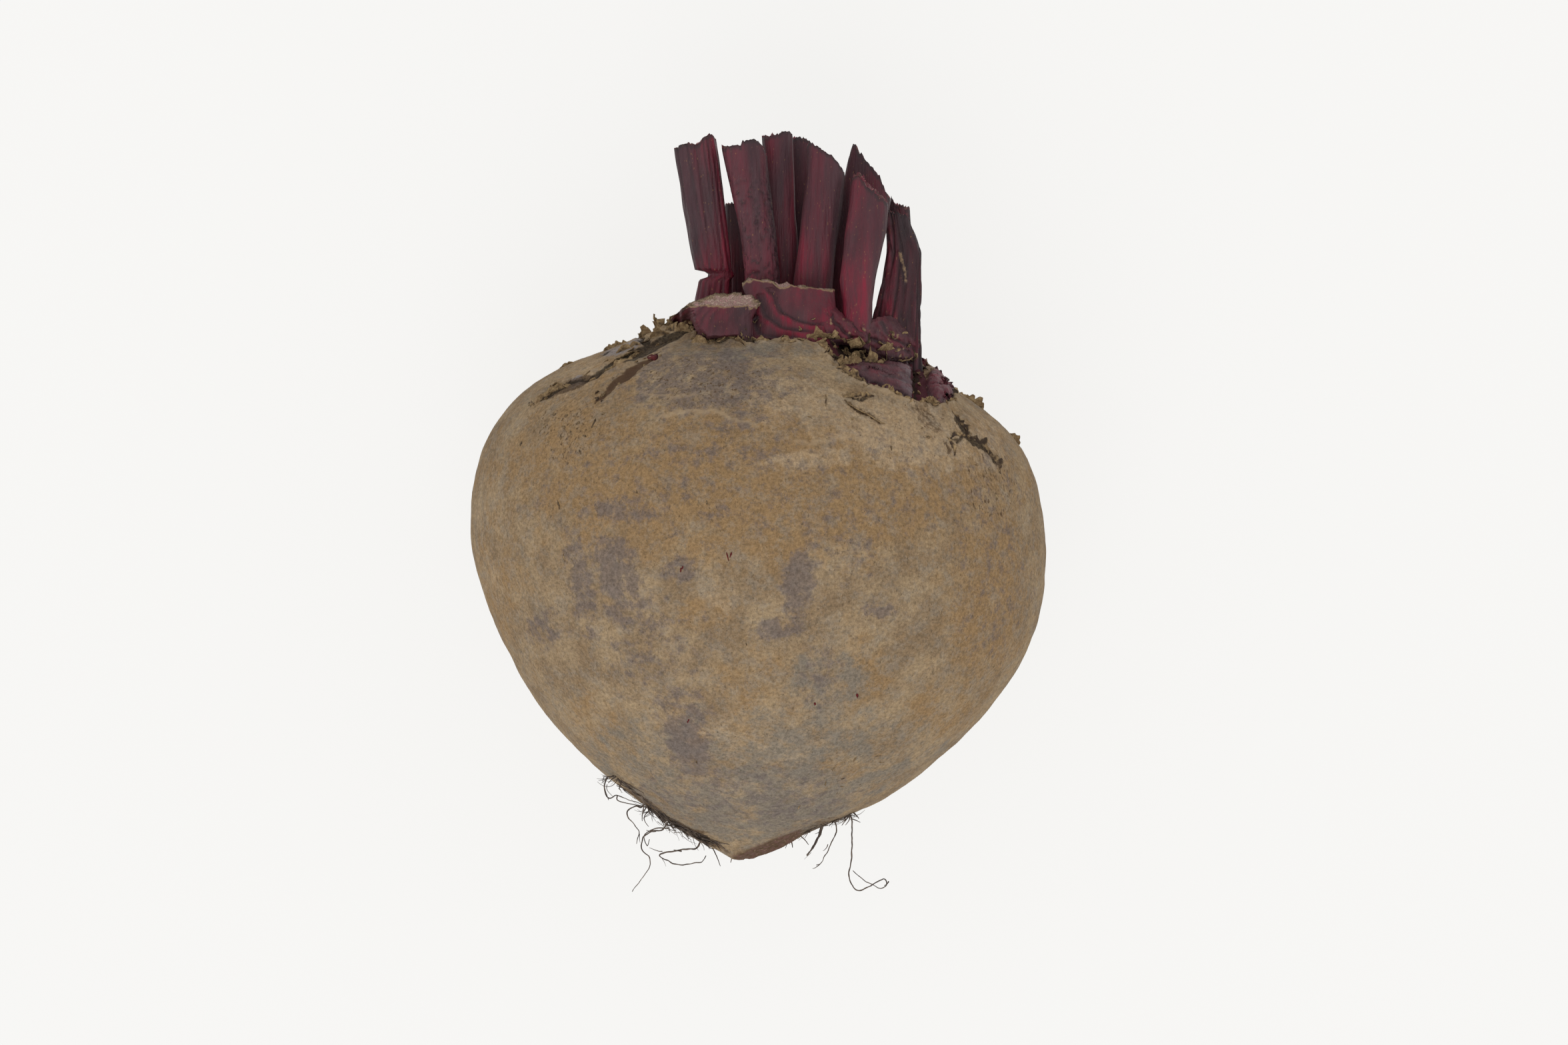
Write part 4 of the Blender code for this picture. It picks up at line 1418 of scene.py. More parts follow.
    def creases(self, spots: Array, sink: Array) -> tuple[Array, Array, Array]:
        """Folds the skin.

        Args:
            spots: the skin's points.
            sink: how deep they lie before.

        Returns:
            How deep they lie after, the folds' lit edges and their dark floors.
        """
        lit, shade = np.zeros(len(spots)), np.zeros(len(spots))
        for fold in self.folds:
            path = along_curve(np.array([(*p, 0.0) for p in fold]), 10 * len(fold))
            plan = spots * (1, 1, 0) + 0.25 * self.grain.at(spots, 2.5)[:, None] * (1, 1, 0)
            away, share = off_path(plan, path)
            nearest = along_curve(path, 400)[(share * 399).astype(int)]
            ahead = np.gradient(path, axis=0)[(share * (len(path) - 1)).astype(int)]
            side = np.sign(ahead[:, 0] * (plan - nearest)[:, 1] - ahead[:, 1] * (plan - nearest)[:, 0])
            reach = away * side
            ends = ramp(0.0, 0.12, share) * ramp(1.0, 0.85, share)
            ends = ends * self.faces_up(spots)
            sink = sink + 0.75 * ends * ramp(-0.15, 0.25, reach) * np.exp(-np.maximum(reach, 0) / 2.2)
            lit = np.maximum(lit, ends * bell(reach + 0.55, 0.5))
            shade = np.maximum(shade, ends * bell(reach - 0.25, 0.3))
        return sink, lit, shade

    def peeled(self, spots: Array) -> Array:
        """Where strips of skin have lifted.

        Args:
            spots: the skin's points.

        Returns:
            A mask from 0 to 1.
        """
        torn = np.zeros(len(spots))
        for strip in self.peels:
            path = along_curve(np.array([(*p, 0.0) for p in strip]), 40)
            away = off_path(spots * (1, 1, 0), path)[0] / (0.3 + 0.1 * self.grain.at(spots, 0.8))
            torn = np.maximum(torn, np.exp(-(away**4)) * self.faces_up(spots))
        return torn

    def colour_marks(self, spots: Array, side: Array, furrow: Array, lit: Array,
                     dark: Array) -> dict[str, Array]:
        """Marks where the skin's colours lie, with painted highlights and painted shade.

        Args:
            spots: the skin's points.
            side: how far to the right they are, from -1 to 1.
            furrow: the furrows between the ribs.
            lit: the folds' lit edges, painted into the red mark as a highlight.
            dark: the folds' floors and the pits, painted as shade.

        Returns:
            The marks.
        """
        cloud = self.grain.at(spots, (2.4, 12.0, 2.4))
        low = self.base_red * ramp(58, 47, spots[:, 1])
        # 0.7 * lit paints a red highlight along the folds' edges.
        red = self.redness - 0.06 + self.red_side * side * 0.6 + 0.42 * cloud + low + 0.7 * lit
        # Painted shade: the stalk's sides, where it meets its neighbours, and the furrows between its ribs.
        edge = 0.6 * ramp(0.72, 1.0, np.abs(side)) * (self.kind is not Kind.LEAF_BASE)
        valley = np.maximum(furrow * self.rib_depth * 2.6, edge - 0.8 * np.clip(red - 0.3, 0, 1))
        # A lilac-grey sheen painted on the stalk's left side.
        grey = self.bloom * ramp(0.45, 0.95, -side) * ramp(-0.2, 0.5, self.grain.at(spots, 2.2))
        return {"red": np.clip(red, 0, 1), "valley": np.clip(valley + dark, 0, 1), "bloom": grey}

    def under_cork(self, root: Root, points: Array) -> Array:
        """Tucks the foot of a front leaf base under the torn edge of the cork.

        Args:
            root: the root.
            points: the leaf base's points, (rows, columns, 3).

        Returns:
            The points, none of them over the cork.
        """
        flat = points.reshape(-1, 3).copy()
        hem_y, hem_z = root.hem(flat[:, 0])
        above = flat[:, 1] - hem_y + 0.25 * self.grain.at(flat, 1.2)
        low = flat[:, 1] < 48
        skin = np.array([root.below(p[0], p[1])[2] if near else 0.0 for p, near in zip(flat, low)])
        limit = np.where(above > 0, hem_z - 0.3 + 5.5 * above, skin - 0.7)
        depth = (self.high[2] - flat[:, 2]) * 0.4
        flat[:, 2] = np.where(low, np.minimum(flat[:, 2], limit - depth), flat[:, 2])
        return flat.reshape(points.shape)

    def build(self, root: Root, finishes: Finishes) -> Shape:
        """Makes the stalk.

        Args:
            root: the root that it grows from.
            finishes: the materials.

        Returns:
            Its shape.
        """
        self.read()
        turn = np.arange(self.columns) * 2 * math.pi / self.columns
        at, extents = self.stations()
        half = (extents[-1][3] - extents[-1][2]) / 2
        rim = self.rim_heights(turn, half * np.sin(turn))
        share = np.linspace(0, 1, self.rows)[:, None] ** 0.92
        heights = at[0] + (rim - at[0]) * share
        points, marks = self.surface(turn, heights)
        if self.hemmed:
            points = self.under_cork(root, points)
        shape = Shape()
        tip = ramp(1.3, 0.0, rim - heights).reshape(-1)
        crust = ramp(0.55, 0.0, rim - heights).reshape(-1) * 0.8 * (self.kind is Kind.LEAF_BASE)
        marks["crust"] = np.maximum(marks["crust"], crust)
        shape.add(points.reshape(-1, 3), grid_faces(self.rows, self.columns, True)[:, ::-1],
                  tip=tip * (self.kind is not Kind.LEAF_BASE), **marks)
        self.add_cut(shape, points[-1])
        skins = {Kind.STALK: finishes.stalk, Kind.DRY_STALK: finishes.dry_stalk,
                 Kind.LEAF_BASE: finishes.leaf_base}
        flesh = finishes.old_flesh if self.kind is Kind.LEAF_BASE else finishes.flesh
        shape.make(self.node + "_body", [skins[self.kind], flesh], self.kind.value, self.node)
        return shape

    def add_cut(self, shape: Shape, rim: Array) -> None:
        """Adds the torn face inside the rim, and closes the buried end.

        Args:
            shape: the stalk's shape.
            rim: the rim's points.
        """
        middle = rim.mean(axis=0)
        rings, crust = [rim], []
        wide = 0.75 if self.kind is Kind.LEAF_BASE else 1.15
        for n in range(1, self.cut_rings):
            share = n / self.cut_rings
            ring = rim + (middle - rim) * share
            ring[:, 1] -= 0.4 * math.sin(math.pi * min(1.0, share * 1.6) / 2)
            ring[:, 1] += self.rag * 0.9 * self.grain.at(ring + 60, 0.8)
            rings.append(ring)
            crust.append(np.clip(wide - 2.4 * share + 0.7 * self.grain.at(ring, 1.6), 0, 1))
        base = self.rows * self.columns
        inner = np.concatenate(rings[1:])
        points = np.vstack([inner, middle - (0, 0.4, 0)])
        shape.add(points, np.empty((0, 3), int), 1, crust=np.append(np.concatenate(crust), 0.0))
        first = grid_faces(2, self.columns, True)[:, ::-1]
        first = np.where(first < self.columns, first + base - self.columns, first - self.columns + base)
        rest = grid_faces(self.cut_rings - 1, self.columns, True)[:, ::-1] + base
        n = np.arange(self.columns)
        hub = base + len(inner)
        last = hub - self.columns
        fan = np.stack([last + (n + 1) % self.columns, last + n, np.full(self.columns, hub)], axis=1)
        for block in (first, rest, fan):
            shape.faces.append(block)
            shape.slots.append(np.ones(len(block)))
        shape.faces.append(np.arange(self.columns)[None, :])
        shape.slots.append(np.zeros(1))


STALKS = (
    CutStalk("stalk_left", ((-1, 2.4), (-0.53, 1.5), (0.1, 1.6), (0.44, 0.5), (0.55, 0), (0.9, 0), (1, 0.9)),
             rib_depth=0.26, rib_size=1.5, redness=0.34, red_side=0.75, base_red=0.6, seed=1),
    CutStalk("stalk_mid_left",
             ((-1, 1.6), (-0.8, 1.4), (-0.6, 1.2), (-0.1, 0.9), (0.1, 0.8), (0.14, 0.1), (0.5, 0),
              (0.75, 0.6), (0.95, 2), (1, 2.8)), wrinkles=0.32, redness=0.25, red_side=-0.3, seed=2),
    CutStalk("stalk_dark_left", kind=Kind.DRY_STALK, seed=3),
    CutStalk("stalk_middle", ((-1, 1), (-0.5, 0.8), (0.1, 0.4), (0.35, 0), (0.9, 0.1), (1, 1.2)), redness=0.3,
             seed=4),
    CutStalk("stalk_middle_back", ((-1, 0.4), (-0.4, 0), (0.3, 0.1), (0.8, 0.7), (1, 1.8)), redness=0.12,
             seed=5),
    CutStalk("stalk_flat",
             ((-1, 0.6), (-0.92, -0.4), (-0.82, 0.2), (-0.5, 0.7), (-0.15, 1.4), (0.28, 2.3), (0.67, 3.7),
              (0.94, 5.2), (1, 6)), redness=0.2, red_side=-0.35, seed=6),
    CutStalk("stalk_right_back",
             ((-1, 3), (-0.92, -0.4), (-0.6, 1.3), (-0.27, 2.7), (0.04, 3.8), (0.36, 5.2), (0.73, 8),
              (1, 9.5)), redness=0.25, rag=0.35, seed=7),
    CutStalk("stalk_right",
             ((-1, 1.1), (-0.9, 0.1), (-0.6, 0), (-0.3, 1.1), (0, 2.2), (0.3, 3.1), (0.7, 4.1), (0.9, 4.5),
              (1, 5.2)), lean=0.18, redness=0.25, red_side=-0.55, base_red=0.5, seed=8),
    CutStalk("stalk_far_right_back", ((-1, 0), (0, 0.8), (0.6, 1.4), (1, 1.6)), Kind.DRY_STALK, 0.5,
             redness=0.3, seed=9),
    CutStalk("stalk_far_right", ((-1, 0.3), (0, 0), (0.6, 0.6), (1, 1.6)), Kind.DRY_STALK, 0.4,
             rib_depth=0.42, rib_size=1.6, redness=0.12, red_side=-0.5, bloom=0.3, foot=True, full_from=44,
             seed=10, peels=(((24.1, 53.8), (24.6, 52), (25, 50.4), (25.1, 48.6)),)),
    CutStalk("stalk_back_left", seed=11),
    CutStalk("stalk_back", ((-1, 1.4), (-0.2, 0.3), (0.5, 0), (1, 1)), seed=12),
    CutStalk("stalk_back_middle", kind=Kind.DRY_STALK, seed=13),
    CutStalk("stalk_back_right", ((-1, 0.2), (0, 0.4), (1, 2)), seed=14),
    CutStalk("leaf_base_front_left", ((-1, 1.4), (-0.8, 0.6), (-0.5, 0), (0, 0), (0.6, 0.3), (1, 1)),
             Kind.LEAF_BASE, 0.28, lean=0.5, rib_depth=0.26, rib_size=1.3, redness=0.2, red_side=-0.45,
             base_red=0.1, bloom=1, hemmed=True,
             slope=((34, -18.6), (41.4, -16.8), (42.4, -15.5), (44.2, -13.1), (45.9, -10.8), (48, -9.6)),
             foot=True, full_from=42, seed=15),
    CutStalk("leaf_base_front",
             ((-1, 0.9), (-0.85, 0), (-0.3, 0.3), (-0.25, 1.2), (0, 1), (0.5, 1.4), (1, 2)), Kind.LEAF_BASE,
             0.3, lean=0.12, redness=0.24, red_side=0.5, base_red=0.1, hemmed=True,
             folds=(((0.6, 48), (2.05, 46), (3.3, 43.5), (6.2, 41.7), (8.7, 40.9), (12, 40.8)),
                    ((-0.9, 46.4), (-0.5, 45.3), (1, 42.4), (4.1, 40.4), (7.2, 39.8), (11, 39.6)),
                    ((-2, 42.6), (-1.5, 41.2), (-0.5, 39.4), (2.05, 38.5), (7.2, 38.4))), foot=True,
             full_from=42.5, seed=16),
    CutStalk("leaf_base_back_left", kind=Kind.LEAF_BASE, lean=0.4, foot=True, full_from=42, seed=17),
    CutStalk("leaf_base_back", kind=Kind.LEAF_BASE, lean=0.4, foot=True, full_from=42, seed=18),
    CutStalk("leaf_base_back_right", kind=Kind.DRY_STALK, lean=0.3, foot=True, full_from=40, seed=19),
)


@dataclass
class Collar:
    """The old leaf bases' dark skin in front of the right stalks' feet."""

    low: tuple[Plan, ...] = (
        (10.4, 37.6), (12, 37), (14, 37.6), (16, 37.4), (18, 36.6), (20, 35.6), (22, 35), (24, 34.8),
        (26, 34.6), (27.6, 34.4),
    )
    high: tuple[Plan, ...] = (
        (10.4, 42.6), (12.2, 44.6), (13.8, 43.4), (15, 42.2), (17, 41.7), (19.3, 41.9), (21, 42.6),
        (22.5, 42.8), (24, 42), (26, 40.6), (27.6, 38.6),
    )
    pegs: tuple[Point, ...] = (
        (11, 37.6, 65.2), (14, 37.4, 64.6), (17, 36.8, 63.9), (20, 35.6, 62.8), (22, 35, 61.8),
        (24, 34.8, 59.8), (26, 34.6, 56.6), (27.6, 34.4, 53.6), (12.2, 44.6, 62.6), (15, 42.2, 63.9),
        (17, 41.7, 63.8), (19.3, 41.9, 62.2), (21, 42.6, 59), (22.5, 42.8, 56.8), (24, 42, 55.9),
        (26, 40.6, 55.2), (27.6, 38.6, 54.4), (15.5, 39.5, 65), (20, 38.8, 62.3), (23.5, 38.4, 58.8),
        (12.4, 40.8, 65),
    )
    folds: tuple[tuple[Plan, ...], ...] = (
        ((12.2, 42.8), (13.6, 40.6), (15.6, 39), (17.8, 38.2)),
        ((16.4, 41), (18.6, 39), (21.6, 37.6), (25.6, 36.4)),
        ((21, 41.6), (22.4, 39.2), (25, 37.8), (27.4, 36.6)),
    )
    columns: int = 110
    rows: int = 56

    def build(self, finishes: Finishes) -> Shape:
        """Makes the collar.

        Args:
            finishes: the materials.

        Returns:
            Its shape.
        """
        grain = Grain(260)
        x = np.linspace(self.low[0][0], self.low[-1][0], self.columns)[None, :]
        v = np.linspace(0, 1, self.rows)[:, None]
        low, high = follow(self.low, x), follow(self.high, x)
        ragged = 0.4 * grain.at(np.stack([x[0], 0 * x[0], 0 * x[0]], axis=1), 0.9)[None, :]
        y = low + (high + ragged - low) * v
        plan = np.stack([x + 0 * v, y], axis=-1).reshape(-1, 2)
        z = drape(plan, np.array(self.pegs))
        points = np.column_stack([plan, z])
        lit, shade = np.zeros(len(points)), np.zeros(len(points))
        for fold in self.folds:
            path = np.array([(*p, 0.0) for p in fold])
            swayed = points * (1, 1, 0) + 0.3 * grain.at(points, 2.0)[:, None]
            away = off_path(swayed, along_curve(path, 30))[0]
            shade = np.maximum(shade, bell(away, 0.32))
            lit = np.maximum(lit, bell(away - 0.8, 0.45))
        points[:, 2] += 0.2 * lit - 0.3 * shade + 0.45 * grain.layered(points, 1.8, 3) - 0.7
        edge = ramp(0.0, 0.12, np.minimum(v, 1 - v) + 0 * x).ravel()
        points[:, 2] -= 0.7 * (1 - edge)
        # 0.22 * lit paints a red highlight along the folds' edges.
        red = np.clip(0.14 + 0.22 * lit + 0.25 * grain.at(points, 3.0) - 0.02 * (points[:, 0] - 18), 0, 1)
        shape = Shape()
        low = ramp(0.35, 0.0, v + 0 * x).ravel()
        crust = ramp(0.25, 0.75, grain.at(points + 9, 0.8)) * ramp(-0.2, 0.3, grain.at(points, 3.0))
        # Painted shade in the folds, and darker towards the lower edge.
        shape.add_sheet(points.reshape(self.rows, self.columns, 3), 1.2, red=red, crust=0.8 * crust,
                        valley=np.clip(shade + low, 0, 1))
        shape.make("crown_collar", [finishes.leaf_base], "leaf_base_skin")
        return shape


# ---- Thin pieces on the skin ----
@dataclass
class SkinPatch:
    """What is left of a leaf on the shoulder: dark skin with ridges along it, inside an outline in plan."""

    node: str
    outline: tuple[Plan, ...]
    ridge: tuple[Plan, ...]
    rise: float = 0.6
    pitch: float = 1.3
    redness: float = 0.2
    grey: Plan = (99.0, 99.5)
    crust: Point = (0.0, 0.0, 0.0)
    seed: int = 1
    step: float = 0.13

    def build(self, root: Root, finishes: Finishes) -> None:
        """Makes the piece.

        Args:
            root: the root that it lies on.
            finishes: the materials.
        """
        grain = Grain(300 + self.seed)
        corners = np.array(self.outline)
        low, high = corners.min(axis=0) - 0.7, corners.max(axis=0) + 0.7
        columns, rows = (int(v) for v in (high - low) / self.step)
        x, y = np.meshgrid(np.linspace(low[0], high[0], columns), np.linspace(low[1], high[1], rows))
        plan = np.stack([x, y], axis=-1).reshape(-1, 2)
        at, out = root.feet([root.below(*p) for p in plan])
        inside = inside_outline(plan, self.outline) + 0.3 * grain.layered(at, 1.3, 3)
        along = np.pad(np.array(self.ridge, float), ((0, 0), (0, 1)))
        off = off_path(np.pad(plan, ((0, 0), (0, 1))), along)[0] + 0.35 * grain.at(at, 2.4)
        ridge = np.abs(np.sin(off * math.pi / self.pitch))
        body = ramp(-0.15, 0.35, inside)
        swell = ramp(0.0, 1.4, inside)
        height = 0.25 + self.rise * swell + 0.22 * ridge + 0.09 * grain.layered(at, 1.2, 2)
        height = body * height - 0.8 * (1 - body)
        top = (at + out * height[:, None]).reshape(rows, columns, 3)
        # Painted shade between the ridges and along the outline's edge.
        valley = (1 - ramp(0.0, 0.4, ridge)) * 0.6 + ramp(0.7, 0.2, inside) * 0.5
        spot = self.crust[2] * ramp(1.5, 0.4, np.hypot(*(plan - self.crust[:2]).T) / 1.6)
        crust = np.maximum(spot, 0.75 * ramp(0.35, 0.0, inside) * ramp(-0.2, 0.4, grain.at(at, 1.5)))
        shape = Shape()
        shape.add_sheet(top, 0.5, red=np.clip(self.redness + 0.4 * grain.at(at, 2.4), 0, 1),
                        valley=np.clip(valley, 0, 1), crust=crust,
                        bloom=0.35 * ramp(*self.grey, plan[:, 0]) * ramp(-0.4, 0.3, grain.at(at, 1.8)))
        shape.make(self.node + "_body", [finishes.leaf_base], "leaf_base_skin", self.node)


@dataclass(frozen=True)
class Flake:
    """A flake or scale of dry skin: the plan points of the edge that holds it, how it stands and curls."""

    points: tuple[Plan, ...]
    wide: float
    stand: float = 0.6
    curl: float = 0.8
    tone: float = 0.3
    red: float = 0.0
    blunt: float = 3.0
    jag: float = 1.0


class Curls:
    """Dry skin that curls off the root: packed scales, and the torn edges of the cork."""

    def __init__(self, root: Root, seed: int) -> None:
        """Starts with no curls.

        Args:
            root: the root that they grow from.
            seed: sets their small differences.
        """
        self.root = root
        self.rng = np.random.default_rng(seed)
        self.grain = Grain(seed)
        self.shape = Shape()

    def add(self, path: Array, flake: Flake, step: float = 0.2) -> None:
        """Adds one flake.

        Args:
            path: the points of its held edge, in order, with its free side to their left seen from outside.
            flake: its sizes and its look.
            step: the distance between its points.
        """
        long = np.linalg.norm(np.diff(path, axis=0), axis=1).sum()
        path = along_curve(path, max(7, int(long / step)))
        phase = self.rng.uniform(0, 90)
        at, out = self.root.feet(path)
        t = np.linspace(-1, 1, len(path))
        s = np.linspace(0, 1, FLAKE_ROWS)
        side = unit(np.cross(out, np.gradient(at, axis=0) + 1e-6))
        ragged = 0.45 * self.grain.at(at + phase, 1.1) + 0.22 * self.grain.at(at + phase + 20, 0.45)
        full = flake.wide * (1 - np.abs(t) ** flake.blunt)
        width = full * np.clip(0.85 + flake.jag * ragged, 0.2, 1.6) + 0.08
        turn = flake.stand + flake.curl * (1 + 0.3 * self.grain.at(at + phase + 40, 1.6))[:, None] * s
        inner = (width / len(s))[:, None]
        across = np.cumsum(np.cos(turn) * inner, axis=1) - inner
        up = np.cumsum(np.sin(turn) * inner, axis=1) - inner
        flat = at[:, None] + side[:, None] * across[..., None]
        base, lift = (part.reshape(flat.shape) for part in self.root.feet(flat.reshape(-1, 3)))
        top = base + lift * (up + 0.07 - 0.14 * (1 - s) ** 3)[..., None]
        rough = self.grain.at(top.reshape(-1, 3) + phase, 0.8).reshape(up.shape)
        fine = self.grain.at(top.reshape(-1, 3) + phase, 0.35).reshape(up.shape)
        top = top + lift * ((0.09 * rough + 0.02 * fine) * s)[..., None]
        # Painted shade: darker towards the held edge, lighter towards the free edge, on top of the flake's
        # own tone.
        shade = flake.tone + 0.45 * (0.5 - s[None]) + 0.35 * rough
        self.shape.add_sheet(top.transpose(1, 0, 2), 0.1, tone=np.clip(shade, 0, 1).T, red=flake.red)

    def one(self, flake: Flake) -> None:
        """Adds a flake whose held edge is given in plan."""
        self.add(np.array([self.root.below(*p) for p in flake.points]), flake)

    def scatter(self, path: Array, flip: bool, count: int, size: float, tone: float, stand: float = 0.7,
                aside: float = 0.0) -> None:
        """Adds flakes of many sizes along a path on the skin.

        Args:
            path: the path's points.
            flip: which side they curl to.
            count: how many there are.
            size: their usual length.
            tone: their usual tone.
            stand: how steeply they usually rise.
            aside: how far their held edges are from the path, on the side that they curl away from.
        """
        for place in (np.arange(count) + self.rng.uniform(0.1, 0.9, count)) / count:
            n = min(int(place * (len(path) - 1)), len(path) - 2)
            ahead = unit(path[n + 1] - path[n]) * (-1 if flip else 1)
            ahead = unit(ahead + self.rng.normal(0, 0.22, 3))
            middle = path[n] + (path[n + 1] - path[n]) * self.rng.uniform(0, 1) + self.rng.normal(0, 0.22, 3)
            middle = middle - np.cross(self.root.foot(middle)[1], ahead) * aside
            half = size * self.rng.uniform(0.3, 1.0) * 0.5
            bend = self.rng.normal(0, 0.25, 3) * half
            flake = Flake((), half * self.rng.uniform(0.8, 1.7), stand * self.rng.uniform(0.4, 1.5),
                          self.rng.uniform(-0.2, 1.6), float(np.clip(tone + self.rng.normal(0, 0.22), 0, 1)),
                          blunt=self.rng.uniform(1.2, 3.0))
            self.add(np.array([middle - ahead * half, middle + bend, middle + ahead * half]), flake, 0.16)

    def chip(self, spot: Patch, red: float = 0.0) -> None:
        """Adds a thin dark chip that lies on the skin.

        Args:
            spot: where it lies, and its size.
            red: how red it is.
        """
        turn = np.arange(CHIP_CORNERS) * 2 * math.pi / CHIP_CORNERS
        ring = np.stack([np.cos(turn) * spot.long, np.sin(turn) * spot.short], axis=1)
        ring *= (0.8 + 0.35 * self.rng.uniform(-1, 1, CHIP_CORNERS))[:, None]
        c, s = math.cos(math.radians(spot.heading)), math.sin(math.radians(spot.heading))
        plan = ring @ np.array(((c, s), (-s, c))) + (spot.x, spot.y)
        at, out = self.root.feet([self.root.below(*p) for p in (*plan, (spot.x, spot.y))])
        points = np.vstack([at[:-1] + out[:-1] * 0.035, at[-1] + out[-1] * 0.055, at[-1] - out[-1] * 0.3])
        n = np.arange(CHIP_CORNERS)
        m = (n + 1) % CHIP_CORNERS
        top, bottom = np.full_like(n, CHIP_CORNERS), np.full_like(n, CHIP_CORNERS + 1)
        faces = np.vstack([np.stack([n, m, top], axis=1), np.stack([m, n, bottom], axis=1)])
        self.shape.add(points, faces, tone=0.3 + 0.35 * self.rng.uniform(), red=red)


@dataclass
class DryScale:
    """A dry scale of skin that stands for a packed one, made of one or more flakes."""

    node: str
    flakes: tuple[Flake, ...]
    seed: int = 1

    def build(self, root: Root, finishes: Finishes) -> None:
        """Makes the scale.

        Args:
            root: the root that it lies on.
            finishes: the materials.
        """
        curls = Curls(root, 400 + self.seed)
        for flake in self.flakes:
            curls.one(flake)
        curls.shape.make(self.node + "_body", [finishes.papery], "dry_scale", self.node)


PATCHES = (
    SkinPatch("leaf_remnant_right",
              ((14.5, 32.9), (15.4, 33.9), (17.3, 34.6), (20.4, 34.4), (23.9, 34.9), (25.7, 34.8),
               (26.1, 31.5), (26.1, 28.3), (25, 28.4), (23.1, 29.4), (21.6, 29.9), (18.1, 31), (16.4, 31.8)),
              ((14.6, 32.8), (18, 32.6), (22, 31.6), (26.6, 30.2)), 0.35, 1.1, 0.12, (22.8, 24.6), seed=1),
    SkinPatch("leaf_scar_right",
              ((27.7, 36.2), (28.6, 36.4), (29.4, 35.6), (30.2, 34), (31.6, 32.2), (33.4, 29.8), (33.3, 28.6),
               (31.9, 27.6), (30.1, 27.3), (28.9, 28.6), (28.4, 30.6), (28.5, 32.2), (27.9, 33.6),
               (27.5, 35)), ((27.8, 36), (29.2, 32.6), (31, 28)), 1.1, 1.5, 0.32, (31.8, 33), (28.6, 33.4, 1),
              2),
)
SCALES = (
    DryScale("dry_scale_right", (
        Flake(((35.4, 21.6), (37.6, 20.2), (39.6, 18.2), (41.2, 15.4)), 2.2, 0.15, 0.3, 0.75, 0, 3, 1.6),
        Flake(((32.9, 26.2), (34.3, 23.6), (35.6, 21.4)), 1.5, 0.2, 0.4, 0.75, 0, 2, 1.5),
        Flake(((32.3, 21.2), (34.4, 21.6), (36.6, 21.4)), 1.3, 0.15, 0.4, 0.7, 0, 2, 1.3),
        Flake(((31.9, 21.6), (32.5, 20.2), (33.2, 18.5)), 1.2, 0.15, 0.4, 0.6)), 1),
    DryScale("dry_scale_shoulder", (
        Flake(((21.4, 23.9), (20, 24.8), (18, 26.1), (16.2, 26.9), (14.5, 28)), 1.3, 0.25, 0.5, 0.4),
        Flake(((14.3, 28.4), (16.6, 28.3), (19.6, 28.6)), 1.3, 0.3, 0.6, 0.5)), 2),
    DryScale("dry_scale_left", (
        Flake(((-26.6, 33), (-23.6, 34.5), (-20.5, 36.3)), 1.5, 0.25, 0.8, 0.2),
        Flake(((-20.8, 36.6), (-23.4, 35.6), (-25.8, 34.4)), 0.7, 0.7, 1, 0.45)), 3),
    DryScale("dry_scale_far_left", (
        Flake(((-38.4, 27.5), (-35.6, 29.3), (-32.4, 30.6)), 1.6, 0.25, 0.5, 0.4),
        Flake(((-32.9, 30.2), (-34.2, 31), (-35.6, 30.6)), 1.2, 0.6, 1, 0.3)), 4),
)


